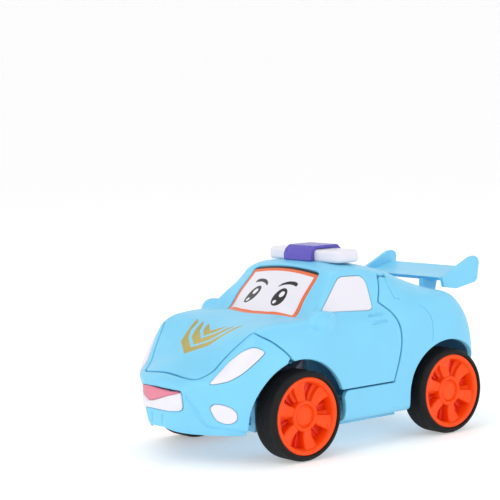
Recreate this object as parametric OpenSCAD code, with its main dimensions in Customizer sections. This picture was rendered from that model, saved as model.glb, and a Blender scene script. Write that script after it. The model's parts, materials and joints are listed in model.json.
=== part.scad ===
// Spring-up robot car. The cabin shell hinges at its roof, and a parallelogram linkage keeps the nose
// level while it rises. Millimetres, +X to the car's left, front at -Y, +Z up, ground at z = 0.
// Inside car(), y = 0 is the front axle.

/* [Wheels] */
// Wheel radius over the tyre
wheel_r = 18; // [17:0.1:19]
// Tyre width
tyre_w = 12.5; // [11:0.5:13]
// Distance between the axles
wheelbase = 80; // [78:0.5:82]
// Distance from the centre plane to a wheel's outer face
wheel_face_x = 41.4; // [41:0.1:43]
// Axle radius
axle_r = 1.5; // [1.4:0.05:1.6]

/* [Shell] */
// Wall of the moulded skins
wall = 1.8; // [1.4:0.1:2.2]
// Gap at a seam between skins that move apart
seam_gap = 0.6; // [0.4:0.1:0.8]
// Depth that the windows sit below the skin
glass_recess = 0.5; // [0.2:0.1:0.8]

/* [Linkage] */
// Height of the shell hinge
hinge_z = 70; // [69.5:0.1:70.5]
// Drop from the hinge to the nose pivot, and along the lift arm
link_drop = 20; // [20:0.5:20.5]
// Reach from the hinge to the nose pivot, and along the lift arm
link_reach = 24; // [24:0.5:24.5]
// Pivot pin radius
pin_r = 1.25; // [1.2:0.05:1.4]
// Radial clearance of a turning fit
fit = 0.06; // [0.04:0.01:0.08]

/* [Drive] */
// Gear module
gear_m = 0.6; // [0.6:0.1:0.6]
// Teeth on the axle gear and on the idler's large gear
big_teeth = 24; // [24:4:24]
// Teeth on the idler's pinion and on the flywheel's pinion
small_teeth = 8; // [8:4:8]

/* [Hidden] */
$fn = 48;

body_blue = [0.49, 0.81, 0.95];
figure_purple = [0.16, 0.11, 0.48];
cap_purple = [0.36, 0.29, 0.72];
lamp_white = [0.93, 0.92, 0.95];
rim_orange = [1, 0.35, 0.07];
tyre_black = [0.06, 0.06, 0.07];
pin_steel = [0.7, 0.7, 0.72];
frame_grey = [0.6, 0.6, 0.66];

axle_z = wheel_r;
hinge = [44, hinge_z];
nose_pivot = [hinge[0] - link_reach, hinge[1] - link_drop];
lift_pivot = [34, 43.5];
lift_tip = [lift_pivot[0] - link_reach, lift_pivot[1] - link_drop];
arch_front = [-1, 18, 22.5];
arch_rear = [79.5, 18, 22];
frame_screws = [for (y = [30, 37], x = [-12, 12]) [x, y]];

// Half sections of the body from the sill to the crown: [y, [[x, z], ...]]
stations = [
    [-43.2, [[4.5, 15], [6, 16.6], [7.6, 20.5], [8.2, 24.5], [8.2, 27],
             [7.8, 28.6], [7, 29.6], [5.6, 30.3], [3, 30.8], [0, 31]]],
    [-41.6, [[6.4, 13.9], [8.4, 15.7], [10, 20.5], [10.4, 25], [11, 28.4],
             [11.6, 30.4], [11, 31.7], [8.8, 32.6], [4.8, 33.1], [0, 33.4]]],
    [-38.8, [[10, 12.8], [12.2, 15], [14, 20.5], [14.6, 25.4], [16.2, 29.2],
             [17.4, 31.6], [16, 33.2], [12.4, 34.4], [6.8, 35.1], [0, 35.4]]],
    [-35, [[15, 12.2], [17.6, 14.8], [19.4, 20.8], [20.2, 26.2], [22.4, 30],
           [23.2, 32.6], [20.6, 34.3], [16.2, 35.5], [9.2, 37.4], [0, 38.2]]],
    [-31, [[20.6, 12], [23.4, 14.8], [25.2, 21.2], [26.4, 27.6], [28.2, 32],
           [27, 35], [23.2, 36.7], [18.4, 37.8], [10, 39.9], [0, 40.8]]],
    [-27, [[26, 12], [29.2, 15], [30.8, 21.8], [31.8, 29], [32, 34.2],
           [30, 38.4], [25.9, 41], [21.6, 42.4], [11, 43.4], [0, 43.6]]],
    [-22, [[30.4, 12], [34, 15], [35.4, 22], [35.8, 30.4], [35, 36.8],
           [32.6, 42.4], [28.4, 46.6], [23.5, 47.6], [12, 47], [0, 46.4]]],
    [-17, [[33.2, 12], [37, 15], [38.2, 23], [38.2, 32.5], [36.8, 40],
           [33.8, 46.8], [30, 51.6], [24.5, 51.4], [12.5, 50], [0, 49.4]]],
    [-10, [[35.4, 12], [39.1, 15], [40.2, 24], [39.7, 35], [37.8, 43.4],
           [35, 49.6], [31.4, 53.6], [25.5, 54], [13, 53], [0, 52.4]]],
    [0, [[35.6, 12], [39.4, 15], [40.5, 26], [40, 38], [38.2, 46.6],
         [35.4, 52.2], [31.2, 54.6], [25.5, 54.8], [13, 55.2], [0, 54.8]]],
    [4.5, [[35.4, 12], [39.3, 15], [40.3, 27], [39.8, 39.5], [38, 48],
           [35.2, 53.4], [30.8, 54.8], [24.5, 54.6], [12.5, 55.6], [0, 55.6]]],
    [10, [[35.2, 12], [39.2, 15], [40, 28], [39.5, 41], [37.8, 50],
          [34.6, 55.2], [30.5, 55.8], [23, 54.8], [12, 58.8], [0, 60]]],
    [16, [[35, 12], [39.1, 15], [39.7, 28.5], [39.3, 41.5], [37.6, 51],
          [33.6, 57.4], [31.6, 60.4], [24, 61.4], [12, 64], [0, 65]]],
    [22, [[34.9, 12], [39, 15], [39.4, 29], [39, 41.5], [37.3, 51.5],
          [33.5, 57.4], [30.4, 64.4], [25.2, 67.2], [12.5, 69.4], [0, 70.2]]],
    [26.5, [[34.9, 12], [39, 15], [39.2, 29], [38.9, 41.5], [37.1, 51.6],
            [33.5, 57.2], [29.2, 67.8], [25.4, 71.6], [13, 73.4], [0, 74]]],
    [33, [[34.8, 12], [38.9, 15], [39.1, 29], [38.8, 41.5], [37, 51.5],
          [33.6, 56.8], [28.6, 70], [25.8, 73], [13.5, 74.6], [0, 75]]],
    [42, [[34.8, 12], [38.9, 15], [39, 29], [38.7, 41.5], [37, 51.2],
          [33.8, 56.4], [28.8, 69.2], [25.5, 72.4], [13.5, 74.2], [0, 74.6]]],
    [50, [[34.8, 12], [38.9, 15], [38.9, 29], [38.5, 41.5], [37, 51],
          [34.4, 56.8], [29.4, 67.4], [25, 70.9], [13.2, 72.8], [0, 73.2]]],
    [58, [[34.9, 12], [39, 15], [39.4, 29], [39.2, 41], [38.4, 50.6],
          [35.8, 57], [30.2, 64.8], [25, 69], [13, 70.9], [0, 71.4]]],
    [66, [[35, 12], [39.2, 15], [40, 29], [40, 41], [39.2, 50.4],
          [36.4, 56.8], [31, 61.8], [24.6, 65.8], [12.8, 68.2], [0, 68.8]]],
    [74, [[35.2, 12], [39.4, 15], [40.4, 29], [40.4, 41], [39.4, 50.6],
          [36.4, 57.2], [31.5, 60], [24.5, 62.8], [12.8, 65], [0, 65.6]]],
    [82, [[35.2, 12], [39.4, 15], [40.5, 29], [40.3, 41], [39, 50.4],
          [36, 56.9], [31.5, 59.6], [24, 60.6], [12.5, 62], [0, 62.4]]],
    [89, [[34.8, 12], [39, 15], [39.8, 28], [39.4, 40], [38, 49.2],
          [34.6, 55.4], [30, 58.2], [23, 59], [12, 59.6], [0, 59.8]]],
    [94, [[33.4, 12.2], [37.4, 15], [38.4, 27], [38, 38.5], [36.4, 46.6],
          [33, 52.2], [28.2, 55], [21.5, 56], [11.5, 56.6], [0, 56.8]]],
    [98, [[30, 12.6], [34, 15.4], [35.2, 26], [34.9, 36], [33, 43.4],
          [29.6, 48.4], [24.8, 51], [19, 52], [10, 52.6], [0, 52.8]]],
    [100.6, [[24, 14], [27.6, 17], [28.8, 26], [28.4, 34], [26.6, 39.6],
             [23.4, 43.2], [19.4, 45.2], [14.5, 46], [7.5, 46.5], [0, 46.6]]],
    [101.4, [[19, 16.5], [22, 19], [23, 26], [22.8, 32], [21.4, 36.2],
             [18.8, 39.2], [15.4, 41], [11.4, 41.8], [6, 42.2], [0, 42.3]]]
];
last_station = len(stations) - 1;
section_points = len(stations[0][1]);
body_centre = [0, 29, 30];
body_reach = [40, 72, 43];
// The lips stand out of the nose, and the spoiler's tips reach furthest back
lip_out = 0.9;
spoiler_tip_y = 112;
nose_tip_y = body_centre[1] - (body_centre[1] - stations[0][0]) * (1 + lip_out / body_reach[1]);
// The origin is the middle of the whole car's length
front_axle_y = -(nose_tip_y + spoiler_tip_y) / 2;

// Seams as [y, z] in side view, and the hood's outline as [x, y] in plan
fender_seam = [[-17.5, 52.6], [-15.7, 50.7], [-12.6, 48.6], [-10.2, 46.4], [-7.6, 43.8], [-5.5, 41], [-2, 36]];
rear_seam = [[51, 75], [50.6, 70.5], [45.9, 58.4], [50.6, 54.2], [53.2, 49.4], [54, 44.5], [53.5, 39.3],
             [51.6, 32.5], [48.8, 25.5]];
hood_seam = [[29.5, -16.6], [26.9, -20.6], [24.3, -24.9], [21.7, -29.2], [19.1, -33.5], [16.6, -36.6],
             [11, -38.2], [0, -38.3]];
door_sill_z = 25.5;
far = 130;

// Points of one outline with its mirror image across x = 0
function mirrored(half) = concat(half, [for (i = [len(half) - 1:-1:0]) if (half[i][0] > 0) [-half[i][0], half[i][1]]]);

// Monotone cubic through the stations, so that flat stretches stay flat
function chord(i, p, k) = (stations[i + 1][1][p][k] - stations[i][1][p][k]) / (stations[i + 1][0] - stations[i][0]);
function blend_slope(a, b) = a * b <= 0 ? 0 : 2 * a * b / (a + b);
function station_slope(i, p, k) =
    i == 0 ? chord(0, p, k) : i == last_station ? chord(last_station - 1, p, k) : blend_slope(chord(i - 1, p, k), chord(i, p, k));
function cubic(a, b, slope_a, slope_b, span, t) =
    (2 * t ^ 3 - 3 * t ^ 2 + 1) * a + (t ^ 3 - 2 * t ^ 2 + t) * span * slope_a
    + (3 * t ^ 2 - 2 * t ^ 3) * b + (t ^ 3 - t ^ 2) * span * slope_b;
function station_value(i, t, p, k) =
    cubic(stations[i][1][p][k], stations[i + 1][1][p][k], station_slope(i, p, k), station_slope(i + 1, p, k),
          stations[i + 1][0] - stations[i][0], t);

// Smooth curve through the points of one half section, two steps for each
function catmull(a, b, c, d, t) =
    0.5 * (2 * b + (c - a) * t + (2 * a - 5 * b + 4 * c - d) * t ^ 2 + (3 * b - a - 3 * c + d) * t ^ 3);
function crown_next(s) = [-s[section_points - 2][0], s[section_points - 2][1]];
function refined(s) = concat(
    [for (p = [0:section_points - 2], t = [0, 0.5])
        catmull(p == 0 ? s[0] : s[p - 1], s[p], s[p + 1], p == section_points - 2 ? crown_next(s) : s[p + 2], t)],
    [s[section_points - 1]]);
function ring_at(i, t) =
    let (s = [for (p = [0:section_points - 1]) [station_value(i, t, p, 0), station_value(i, t, p, 1)]])
    [for (q = mirrored(refined(s))) [q[0], stations[i][0] + t * (stations[i + 1][0] - stations[i][0]), q[1]]];
body_rings = concat([for (i = [0:last_station - 1], t = [0, 0.5]) ring_at(i, t)], [ring_at(last_station - 1, 1)]);

function below_ground(q) = [q[0], q[1], -5];

module car() translate([0, front_axle_y, 0]) children();
module both_sides() {
    children();
    mirror([1, 0, 0]) children();
}
// Turns an outline in [y, z] into a solid along X between two distances
module side_plate(x_from, x_to) translate([x_from, 0, 0]) rotate([90, 0, 90]) linear_extrude(x_to - x_from) children();
module side_slab() side_plate(-far / 2, far / 2) children();
module rod_x(centre, r, x_from, x_to) translate([x_from, centre[0], centre[1]]) rotate([0, 90, 0]) cylinder(r = r, h = x_to - x_from);
module block(low, high) translate(low) cube(high - low);
// Evaluates a smooth skin as one mesh
module one_mesh() resize([0, 0, 0]) children();

// With a skirt, the form runs straight down past the ground from the edges of its underside
module body_form(skirt = false) {
    rings = [for (ring = body_rings) skirt ? concat([below_ground(ring[0])], ring, [below_ground(ring[len(ring) - 1])]) : ring];
    n = len(rings[0]);
    m = len(rings);
    polyhedron(
        points = [for (ring = rings, q = ring) q],
        faces = concat(
            [[for (j = [n - 1:-1:0]) j]],
            [[for (j = [0:n - 1]) (m - 1) * n + j]],
            [for (i = [0:m - 2], j = [0:n - 1], h = [0, 1]) let (a = i * n + j, b = i * n + (j + 1) % n)
                h == 0 ? [a, b, b + n] : [a, b + n, a + n]]),
        convexity = 6);
}
// The body drawn in towards its centre by a depth
module inset_form(depth, skirt = false) translate(body_centre)
    scale([for (reach = body_reach) 1 - depth / reach]) translate(-body_centre) body_form(skirt);
module arches() for (a = [arch_front, arch_rear]) rod_x([a[0], a[1]], a[2], -far / 2, far / 2);
module skin() difference() {
    body_form();
    inset_form(wall, skirt = true);
    arches();
}

module hood_prism(grow) translate([0, 0, 33.2 - grow]) linear_extrude(40)
    offset(delta = grow) polygon(concat([[29.5, -5]], mirrored(hood_seam), [[-29.5, -5]]));
module nose_zone() difference() {
    side_slab() offset(delta = -seam_gap / 2) polygon(concat([[-2, 0], [-60, 0], [-60, 90], [-17.5, 90]], fender_seam));
    hood_prism(seam_gap / 2);
}
module cabin_zone() {
    side_slab() offset(delta = -seam_gap / 2) polygon(concat([[51, 90], [-17.5, 90]], fender_seam,
        [[-2, door_sill_z]], [for (i = [len(rear_seam) - 1:-1:0]) rear_seam[i]]));
    hood_prism(-seam_gap / 2);
    intersection() {
        lamp_sweep(0);
        block([-40, 48, 66], [40, 70, 90]);
    }
}
module rear_zone() difference() {
    side_slab() offset(delta = -seam_gap / 2)
        polygon(concat([[120, 90], [51, 90]], rear_seam, [[-2, door_sill_z], [-2, 0], [120, 0]]));
    lamp_sweep(seam_gap);
}
// Space round the hinge that the roof lamp and its cap pass through as the shell opens
module lamp_sweep(grow) {
    rod_x(hinge, 10.7 + grow, -28 - grow, 28 + grow);
    rod_x(hinge, 13.4 + grow, -10.1 - grow, 10.1 + grow);
}

module windshield_prism(grow) translate([0, 0, 50]) linear_extrude(24) offset(delta = grow)
    polygon(mirrored([[20.8, 27.2], [22.4, 9.6], [17, 6.8], [9, 5], [0, 4.5]]));
module window_prism(grow, left) intersection() {
    side_slab() offset(r = 1.2 + grow, $fn = 24) offset(delta = -1.2)
        polygon([[14.4, 57.3], [29, 70], [40.6, 69.6], [42.6, 67], [42.4, 55.6]]);
    block([left ? 20 : -60, 0, 40], [left ? 60 : -20, 60, 90]);
}
module headlight_prism(grow, left) mirror([left ? 0 : 1, 0, 0]) intersection() {
    translate([0, 0, 26]) linear_extrude(30) offset(r = 0.8 + grow, $fn = 24) offset(delta = -0.8)
        polygon([[23.4, -34.6], [24.2, -30.4], [26.1, -26.9], [29.1, -23], [32.3, -19.4], [35.6, -15.8],
                 [42, -15.8], [42, -34.6]]);
    side_slab() offset(r = 0.8 + grow, $fn = 24) offset(delta = -0.8)
        polygon([[-34.6, 32.9], [-33.1, 33.1], [-29.7, 34.2], [-25.8, 36.7], [-20.6, 40.8], [-15.6, 44.9],
                 [-15.6, 60], [-34.6, 60]]);
}
module fog_lamp_prism(grow, left) mirror([left ? 0 : 1, 0, 0]) translate([26.4, -30.1, 20.9])
    rotate([90, 0, 37.3]) linear_extrude(12, center = true) offset(r = 1.4 + grow, $fn = 24) offset(delta = -1.4)
    polygon([[-5.9, 2.3], [-4.7, 3.9], [-1.3, 4.1], [3.7, 2.5], [5.6, -0.1], [5, -2.8], [1.2, -4.2], [-3.4, -2.7]]);
mouth_half_w = 12.6;
module mouth_prism(grow) translate([0, 0, 21.8 - grow]) linear_extrude(8.6 + 2 * grow)
    translate([-mouth_half_w - grow, -60]) square([2 * (mouth_half_w + grow), 26]);

// Raised or recessed plate that follows the body's surface
module surface_plate(out, depth) difference() {
    inset_form(-out);
    inset_form(depth);
}

module rear_body() color(body_blue) car() one_mesh() {
    intersection() {
        skin();
        rear_zone();
    }
    difference() {
        intersection() {
            inset_form(wall / 2);
            // Ledges that rest on the edges of the chassis deck
            both_sides() block([28.4, 23, 22], [40, 56, 23.6]);
        }
        arches();
    }
}
module cabin_shell() color(body_blue) car() one_mesh() difference() {
    union() {
        difference() {
            intersection() {
                skin();
                cabin_zone();
            }
            windshield_prism(0.15);
            window_prism(0.15, true);
            window_prism(0.15, false);
        }
        both_sides() {
            intersection() {
                inset_form(wall / 2);
                rod_x(nose_pivot, 3.4, 33.7, 40);
            }
            translate([36.4, 12.4, 53.4]) scale([3.6, 6.2, 3.3]) sphere(1, $fn = 24);
        }
    }
    both_sides() {
        rod_x(nose_pivot, pin_r, 30, 36.4);
        rod_x(hinge, 3, 10, 14);
    }
    for (p = frame_screws) translate([p[0], p[1], 60]) cylinder(r = 1.1, h = 12.9, $fn = 24);
}
module windshield() color(lamp_white) car() one_mesh() intersection() {
    surface_plate(-glass_recess, wall);
    windshield_prism(0);
}
module window_panel(left) color(lamp_white) car() one_mesh() intersection() {
    surface_plate(-glass_recess / 2, wall);
    window_prism(0, left);
}
module left_window() window_panel(true);
module right_window() window_panel(false);

module nose_shell() color(body_blue) car() one_mesh() difference() {
    intersection() {
        skin();
        nose_zone();
    }
    headlight_prism(0.12, true);
    headlight_prism(0.12, false);
    fog_lamp_prism(0.12, true);
    fog_lamp_prism(0.12, false);
    mouth_prism(0.12);
}
module headlight(left) color(lamp_white) car() one_mesh() intersection() {
    surface_plate(0.3, wall);
    headlight_prism(0, left);
}
module left_headlight() headlight(true);
module right_headlight() headlight(false);
module fog_lamp(left) color(lamp_white) car() one_mesh() intersection() {
    surface_plate(0.3, wall);
    fog_lamp_prism(0, left);
}
module left_fog_lamp() fog_lamp(true);
module right_fog_lamp() fog_lamp(false);

// Two-part mouth: white lips below, tongue above
module lip_zone() rotate([90, 0, 0]) linear_extrude(100, center = true)
    polygon([[-20, 10], [-20, 28], [-9, 26.8], [-4.6, 24.8], [2.8, 26.4], [9, 28.3], [12.8, 29.5], [20, 31],
             [20, 10]]);
module mouth_lips() color(lamp_white) car() one_mesh() intersection() {
    surface_plate(lip_out, wall);
    mouth_prism(0);
    lip_zone();
}
module tongue() color("hotpink") car() one_mesh() difference() {
    intersection() {
        surface_plate(0.5, wall);
        mouth_prism(0);
    }
    lip_zone();
}

module rounded_block(size, r) intersection() {
    rotate([90, 0, 90]) linear_extrude(size[0], center = true) translate([-size[1] / 2, 0]) rounded_rectangle([size[1], size[2]], r);
    linear_extrude(size[2]) translate([-size[0] / 2, -size[1] / 2]) rounded_rectangle([size[0], size[1]], r);
}
module rounded_rectangle(size, r) {
    translate([r, 0]) square([size[0] - 2 * r, size[1]]);
    translate([0, r]) square([size[0], size[1] - 2 * r]);
    for (x = [r, size[0] - r], y = [r, size[1] - r]) translate([x, y]) circle(r, $fn = 32);
}
light_bar_y = 39.8;
module light_bar() color(lamp_white) car() difference() {
    translate([0, light_bar_y, 75.2]) rounded_block([55, 13.6, 5], 2);
    translate([0, light_bar_y, 70]) cylinder(r = 3.6, h = 20);
}
cap_half_w = 10;
module light_bar_cap() color(cap_purple) car() {
    difference() {
        translate([0, 0, 75.2]) linear_extrude(6.9) polygon(mirrored([
            [0, 49.2], [8, 49.2], [cap_half_w, 47.4], [cap_half_w, 31], [8, 29.4], [0, 29.4]]));
        block([-20, light_bar_y - 6.95, 70], [20, light_bar_y + 6.95, 80.35]);
    }
    translate([0, light_bar_y, 72.9]) cylinder(r = 3.5, h = 8);
}

module spoiler() color(body_blue) car() {
    both_sides() {
        side_plate(25.2, 27) polygon([[90.6, 60.2], [89.5, 64.2], [106.6, 72], [109.6, 72.4], [111.6, 71.2],
                                      [spoiler_tip_y, 69.2], [110.8, 62.2], [109.4, 61], [98, 59]]);
        side_plate(14, 16.4) polygon([[88, 58.6], [88, 63.6], [97, 63.6], [95, 56.2]]);
    }
    side_plate(-25.6, 25.6) polygon([[88, 64.6], [90, 63], [100, 63], [109, 66.2], [109, 67.4], [100, 65.2]]);
}

chassis_half_w = 19.5;
pan_half_w = 31;
module chassis_outline(inset) polygon(mirrored([
    [0, -9.5 + inset], [chassis_half_w - inset, -9.5 + inset], [chassis_half_w - inset, 23 + inset],
    [pan_half_w - inset, 23 + inset], [pan_half_w - inset, 56 - inset], [26 - inset, 56 - inset],
    [26 - inset, 97 - inset], [0, 97 - inset]]));
screw_places = [[13, 18], [13, 50], [20, 92]];
module chassis_base() color(body_blue) car() difference() {
    union() {
        difference() {
            translate([0, 0, 10]) linear_extrude(9.9) chassis_outline(0);
            translate([0, 0, 11.6]) linear_extrude(9) chassis_outline(1.6);
        }
        for (p = screw_places, s = [-1, 1]) translate([s * p[0], p[1], 10]) cylinder(r = 2.6, h = 9.9);
        both_sides() for (y = [0, wheelbase]) {
            x = y == 0 ? chassis_half_w : 26;
            block([x - 4, y - 3.4, 10], [x, y + 3.4, 19.9]);
        }
    }
    for (y = [0, wheelbase]) {
        rod_x([y, axle_z], axle_r + fit, -far / 2, far / 2);
        block([-far / 2, y - axle_r - fit, axle_z], [far / 2, y + axle_r + fit, 24]);
    }
    for (p = screw_places, s = [-1, 1]) translate([s * p[0], p[1], 0]) {
        cylinder(r = 1.3, h = 30);
        translate([0, 0, 9]) cylinder(r = 2.1, h = 2.6);
    }
    // Window for the trigger block and two slots for the nose hooks
    block([-6.4, -12, 12], [6.4, -7, 25]);
    both_sides() block([13.8, -12, 12.6], [16.6, -7, 19]);
    // Room for the axle gear
    block([-4, 70.5, 9], [1.5, 89.5, 12]);
}

pedestal = [17, 20, 57, 46.5];
module chassis_deck() color(body_blue) car() difference() {
    union() {
        translate([0, 0, 20]) linear_extrude(2) polygon(mirrored([
            [0, -9.5], [chassis_half_w, -9.5], [chassis_half_w, 23], [30.3, 23], [30.3, 56], [26, 56], [26, 61],
            [0, 61]]));
        both_sides() {
            block([17 - 1.8, pedestal[1], 22], [17, pedestal[2], pedestal[3]]);
            // Towers that carry the shell hinge, clear of the roof edge that swings past them
            side_plate(10.4, 13.4) polygon([[40.2, 46], [40.2, 69.5], [42, 72], [44, 72.4], [46, 72], [46.5, 70],
                                            [45.6, 67.6], [43.2, 65], [43.2, 46]]);
            rod_x(hinge, 2.6, 10.4, 13.4);
            // Bearing walls above the axle
            block([chassis_half_w - 3.5, -3.4, 19.9], [chassis_half_w, 3.4, 22]);
        }
        block([-17, 55.2, 22], [17, 57, pedestal[3]]);
        block([-17, 38.6, 44.7], [17, 57, pedestal[3]]);
        block([-10.6, 20, 22], [10.6, 21.8, 38]);
    }
    // Opening that the lift arm and its lugs swing through
    block([-15.1, 5.5, 19], [15.1, 19.9, 23]);
    both_sides() block([11, 19, 21.9], [15.15, 22, 50]);
    block([-6.4, -12, 19], [6.4, -1.9, 23]);
    rod_x(lift_pivot, pin_r + 0.02, -20, 20);
    rod_x(hinge, pin_r + 0.02, -20, 20);
    for (s = [-1, 1]) translate([s * 13, 50, 19]) cylinder(r = 0.9, h = 10);
    // Room for the flywheel
    block([-0.2, 54.6, 17], [10.2, 62, 34]);
}

module chassis_screws() color(pin_steel) car() for (p = screw_places, s = [-1, 1]) translate([s * p[0], p[1], 0]) {
    translate([0, 0, 9.9]) cylinder(r = 2, h = 1.6);
    translate([0, 0, 11.4]) cylinder(r = 0.88, h = p[1] == 50 ? 11.5 : 8.2);
}

module shell_hinge_pin() color(pin_steel) car() rod_x(hinge, pin_r, -18.4, 18.4);
module lift_pivot_pin() color(pin_steel) car() rod_x(lift_pivot, pin_r, -17.6, 17.6);
// Wire wound round the Z axis, from z = 0 up
module coil(r, wire_r, turns, pitch) {
    sides = 8;
    steps = 16;
    n = turns * steps;
    points = [for (i = [0:n], j = [0:sides - 1])
        let (a = i * 360 / steps, b = j * 360 / sides, q = r + wire_r * cos(b))
        [q * cos(a), q * sin(a), i * pitch / steps + wire_r * sin(b)]];
    polyhedron(points = points, faces = concat(
        [[for (j = [sides - 1:-1:0]) j]],
        [[for (j = [0:sides - 1]) n * sides + j]],
        [for (i = [0:n - 1], j = [0:sides - 1]) let (a = i * sides + j, b = i * sides + (j + 1) % sides)
            [a, b, b + sides, a + sides]]), convexity = 8);
}
module lift_spring() color(pin_steel) car() translate([-6.6, lift_pivot[0], lift_pivot[1]])
    rotate([0, 90, 0]) coil(2.2, 0.5, 9, 1.45);

module trigger_block() color(body_blue) car() {
    block([-6, -11.5, 12.6], [6, -7.2, 19.4]);
    block([-6, -10, 19.4], [6, -4.8, 22.6]);
    block([-3.6, -8.6, 22.6], [3.6, -4.8, 23.3]);
    block([-3, -7.4, 12.6], [3, 6, 15.4]);
    translate([0, 5.8, 14]) rotate([-90, 0, 0]) cylinder(r = 0.9, h = 5);
}
module trigger_spring() color(pin_steel) car() translate([0, 9.2, 14]) rotate([-90, 0, 0]) coil(1.7, 0.35, 5, 1.25);

// One axle with knurled ends pressed into its rims
module axle(y) car() rod_x([y, axle_z], axle_r, -wheel_face_x + 3.2, wheel_face_x - 3.2);
module front_axle() color(pin_steel) axle(0);
module rear_axle() color(pin_steel) axle(wheelbase);

rim_r = 15.6;
spokes = 6;
// A rim about the Z axis, with its outer face at the top
module rim_solid() {
    difference() {
        union() {
            difference() {
                cylinder(r = 14.6, h = tyre_w - 0.6, $fn = 64);
                translate([0, 0, -1]) cylinder(r = 12.9, h = tyre_w + 2, $fn = 64);
            }
            translate([0, 0, tyre_w - 2.4]) difference() {
                cylinder(r = rim_r, h = 2, $fn = 64);
                translate([0, 0, -1]) cylinder(r = 13.2, h = 4, $fn = 64);
            }
            cylinder(r = 6.3, h = tyre_w - 1.6);
            translate([0, 0, tyre_w - 6.2]) cylinder(r = 13.4, h = 1.6, $fn = 64);
            intersection() {
                cylinder(r = 13.6, h = tyre_w - 1.2, $fn = 64);
                for (i = [0:spokes - 1]) rotate(i * 360 / spokes) linear_extrude(tyre_w - 1.4)
                    polygon([[4, -2.3], [8.5, -2.6], [14, -3.9], [14, 2.6], [8.5, 1.9], [4, 2.3]]);
            }
        }
        translate([0, 0, tyre_w - 3.2]) cylinder(r = 4.5, h = 4);
        translate([0, 0, -1]) cylinder(r = axle_r, h = tyre_w - 2.2);
    }
}
module tyre_solid() {
    edge = 2.2;
    groove = 0.5;
    rotate_extrude($fn = 96) polygon(concat(
        [[14.62, 0.4], [16.2, 0], [17, 0.5], [wheel_r, edge]],
        [for (i = [0:2], q = [[0, 0], [-groove, 0.3], [-groove, 0.9], [0, 1.2]]) [wheel_r + q[0], edge + 1 + i * 2.9 + q[1]]],
        [[wheel_r, tyre_w - edge], [17, tyre_w - 0.5], [16.2, tyre_w], [rim_r + 0.02, tyre_w - 0.2],
         [rim_r + 0.02, tyre_w - 2.42], [14.62, tyre_w - 2.42]]));
}
module wheel_place(y, left) car() mirror([left ? 0 : 1, 0, 0])
    translate([wheel_face_x - tyre_w, y, axle_z]) rotate([0, 90, 0]) children();
module front_left_rim() color(rim_orange) wheel_place(0, true) rim_solid();
module front_right_rim() color(rim_orange) wheel_place(0, false) rim_solid();
module rear_left_rim() color(rim_orange) wheel_place(wheelbase, true) rim_solid();
module rear_right_rim() color(rim_orange) wheel_place(wheelbase, false) rim_solid();
module front_left_tyre() color(tyre_black) wheel_place(0, true) tyre_solid();
module front_right_tyre() color(tyre_black) wheel_place(0, false) tyre_solid();
module rear_left_tyre() color(tyre_black) wheel_place(wheelbase, true) tyre_solid();
module rear_right_tyre() color(tyre_black) wheel_place(wheelbase, false) tyre_solid();

// Friction motor: axle gear, idler and flywheel, each step 3 to 1
gear_gap = gear_m * (big_teeth + small_teeth) / 2;
idler_at = [wheelbase - gear_gap * cos(30), axle_z + gear_gap * sin(30)];
flywheel_at = [idler_at[0] - gear_gap * cos(18), idler_at[1] + gear_gap * sin(18)];
function gear_outline(teeth, phase) =
    let (pitch_r = gear_m * teeth / 2, top = pitch_r + 0.8 * gear_m, root = pitch_r - 1.1 * gear_m, step = 360 / teeth)
    [for (i = [0:teeth - 1], q = [[root, -0.36], [pitch_r, -0.22], [top, -0.1], [top, 0.1], [pitch_r, 0.22], [root, 0.36]])
        let (a = phase + (i + q[1]) * step) [q[0] * cos(a), q[0] * sin(a)]];
// Teeth face the partner's centre on one gear, and a gap faces it on the other
module gear(at, teeth, phase, x_from, x_to) translate([x_from, at[0], at[1]]) rotate([90, 0, 90])
    linear_extrude(x_to - x_from) polygon(gear_outline(teeth, phase));
towards_idler = 150;
towards_flywheel = 162;
module drive_gear() color("ivory") car() difference() {
    union() {
        gear([wheelbase, axle_z], big_teeth, towards_idler, -3, 0);
        rod_x([wheelbase, axle_z], 3.4, -7, 0);
    }
    rod_x([wheelbase, axle_z], axle_r, -20, 20);
}
small_step = 360 / small_teeth;
module idler_gear() color("ivory") car() difference() {
    union() {
        gear(idler_at, small_teeth, towards_idler + 180 + small_step / 2, -3.2, 1);
        gear(idler_at, big_teeth, towards_flywheel, 1, 3.4);
    }
    rod_x(idler_at, 0.8 + fit, -20, 20);
}
module flywheel() color(pin_steel) car() difference() {
    union() {
        gear(flywheel_at, small_teeth, towards_flywheel + 180 + small_step / 2, 0.8, 3.6);
        rod_x(flywheel_at, 7.4, 3.6, 9.6);
    }
    rod_x(flywheel_at, 0.8 + fit, -20, 20);
}
module idler_shaft() color(pin_steel) car() rod_x(idler_at, 0.8, -9.8, 12);
module flywheel_shaft() color(pin_steel) car() rod_x(flywheel_at, 0.8, -9.8, 12);
motor_wall = 1.6;
module motor_frame() color(lamp_white) car() difference() {
    union() {
        for (x = [-9.8, 10.4]) side_plate(x, x + motor_wall) polygon([
            [52, 20.5], [84, 20.5], [84, 11.8], [89.6, 11.8], [89.6, 30], [78, 35.6], [60, 36.4], [52, 30]]);
        block([-9.8, 62, 34.8], [12, 76, 36.4]);
        block([-9.8, 88, 11.8], [12, 89.6, 22]);
    }
    rod_x(idler_at, 0.82, -20, 20);
    rod_x(flywheel_at, 0.82, -20, 20);
    rod_x([wheelbase, axle_z], axle_r + 0.4, -20, 20);
    block([-20, wheelbase - axle_r - 0.4, 5], [20, wheelbase + axle_r + 0.4, axle_z]);
}

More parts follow.
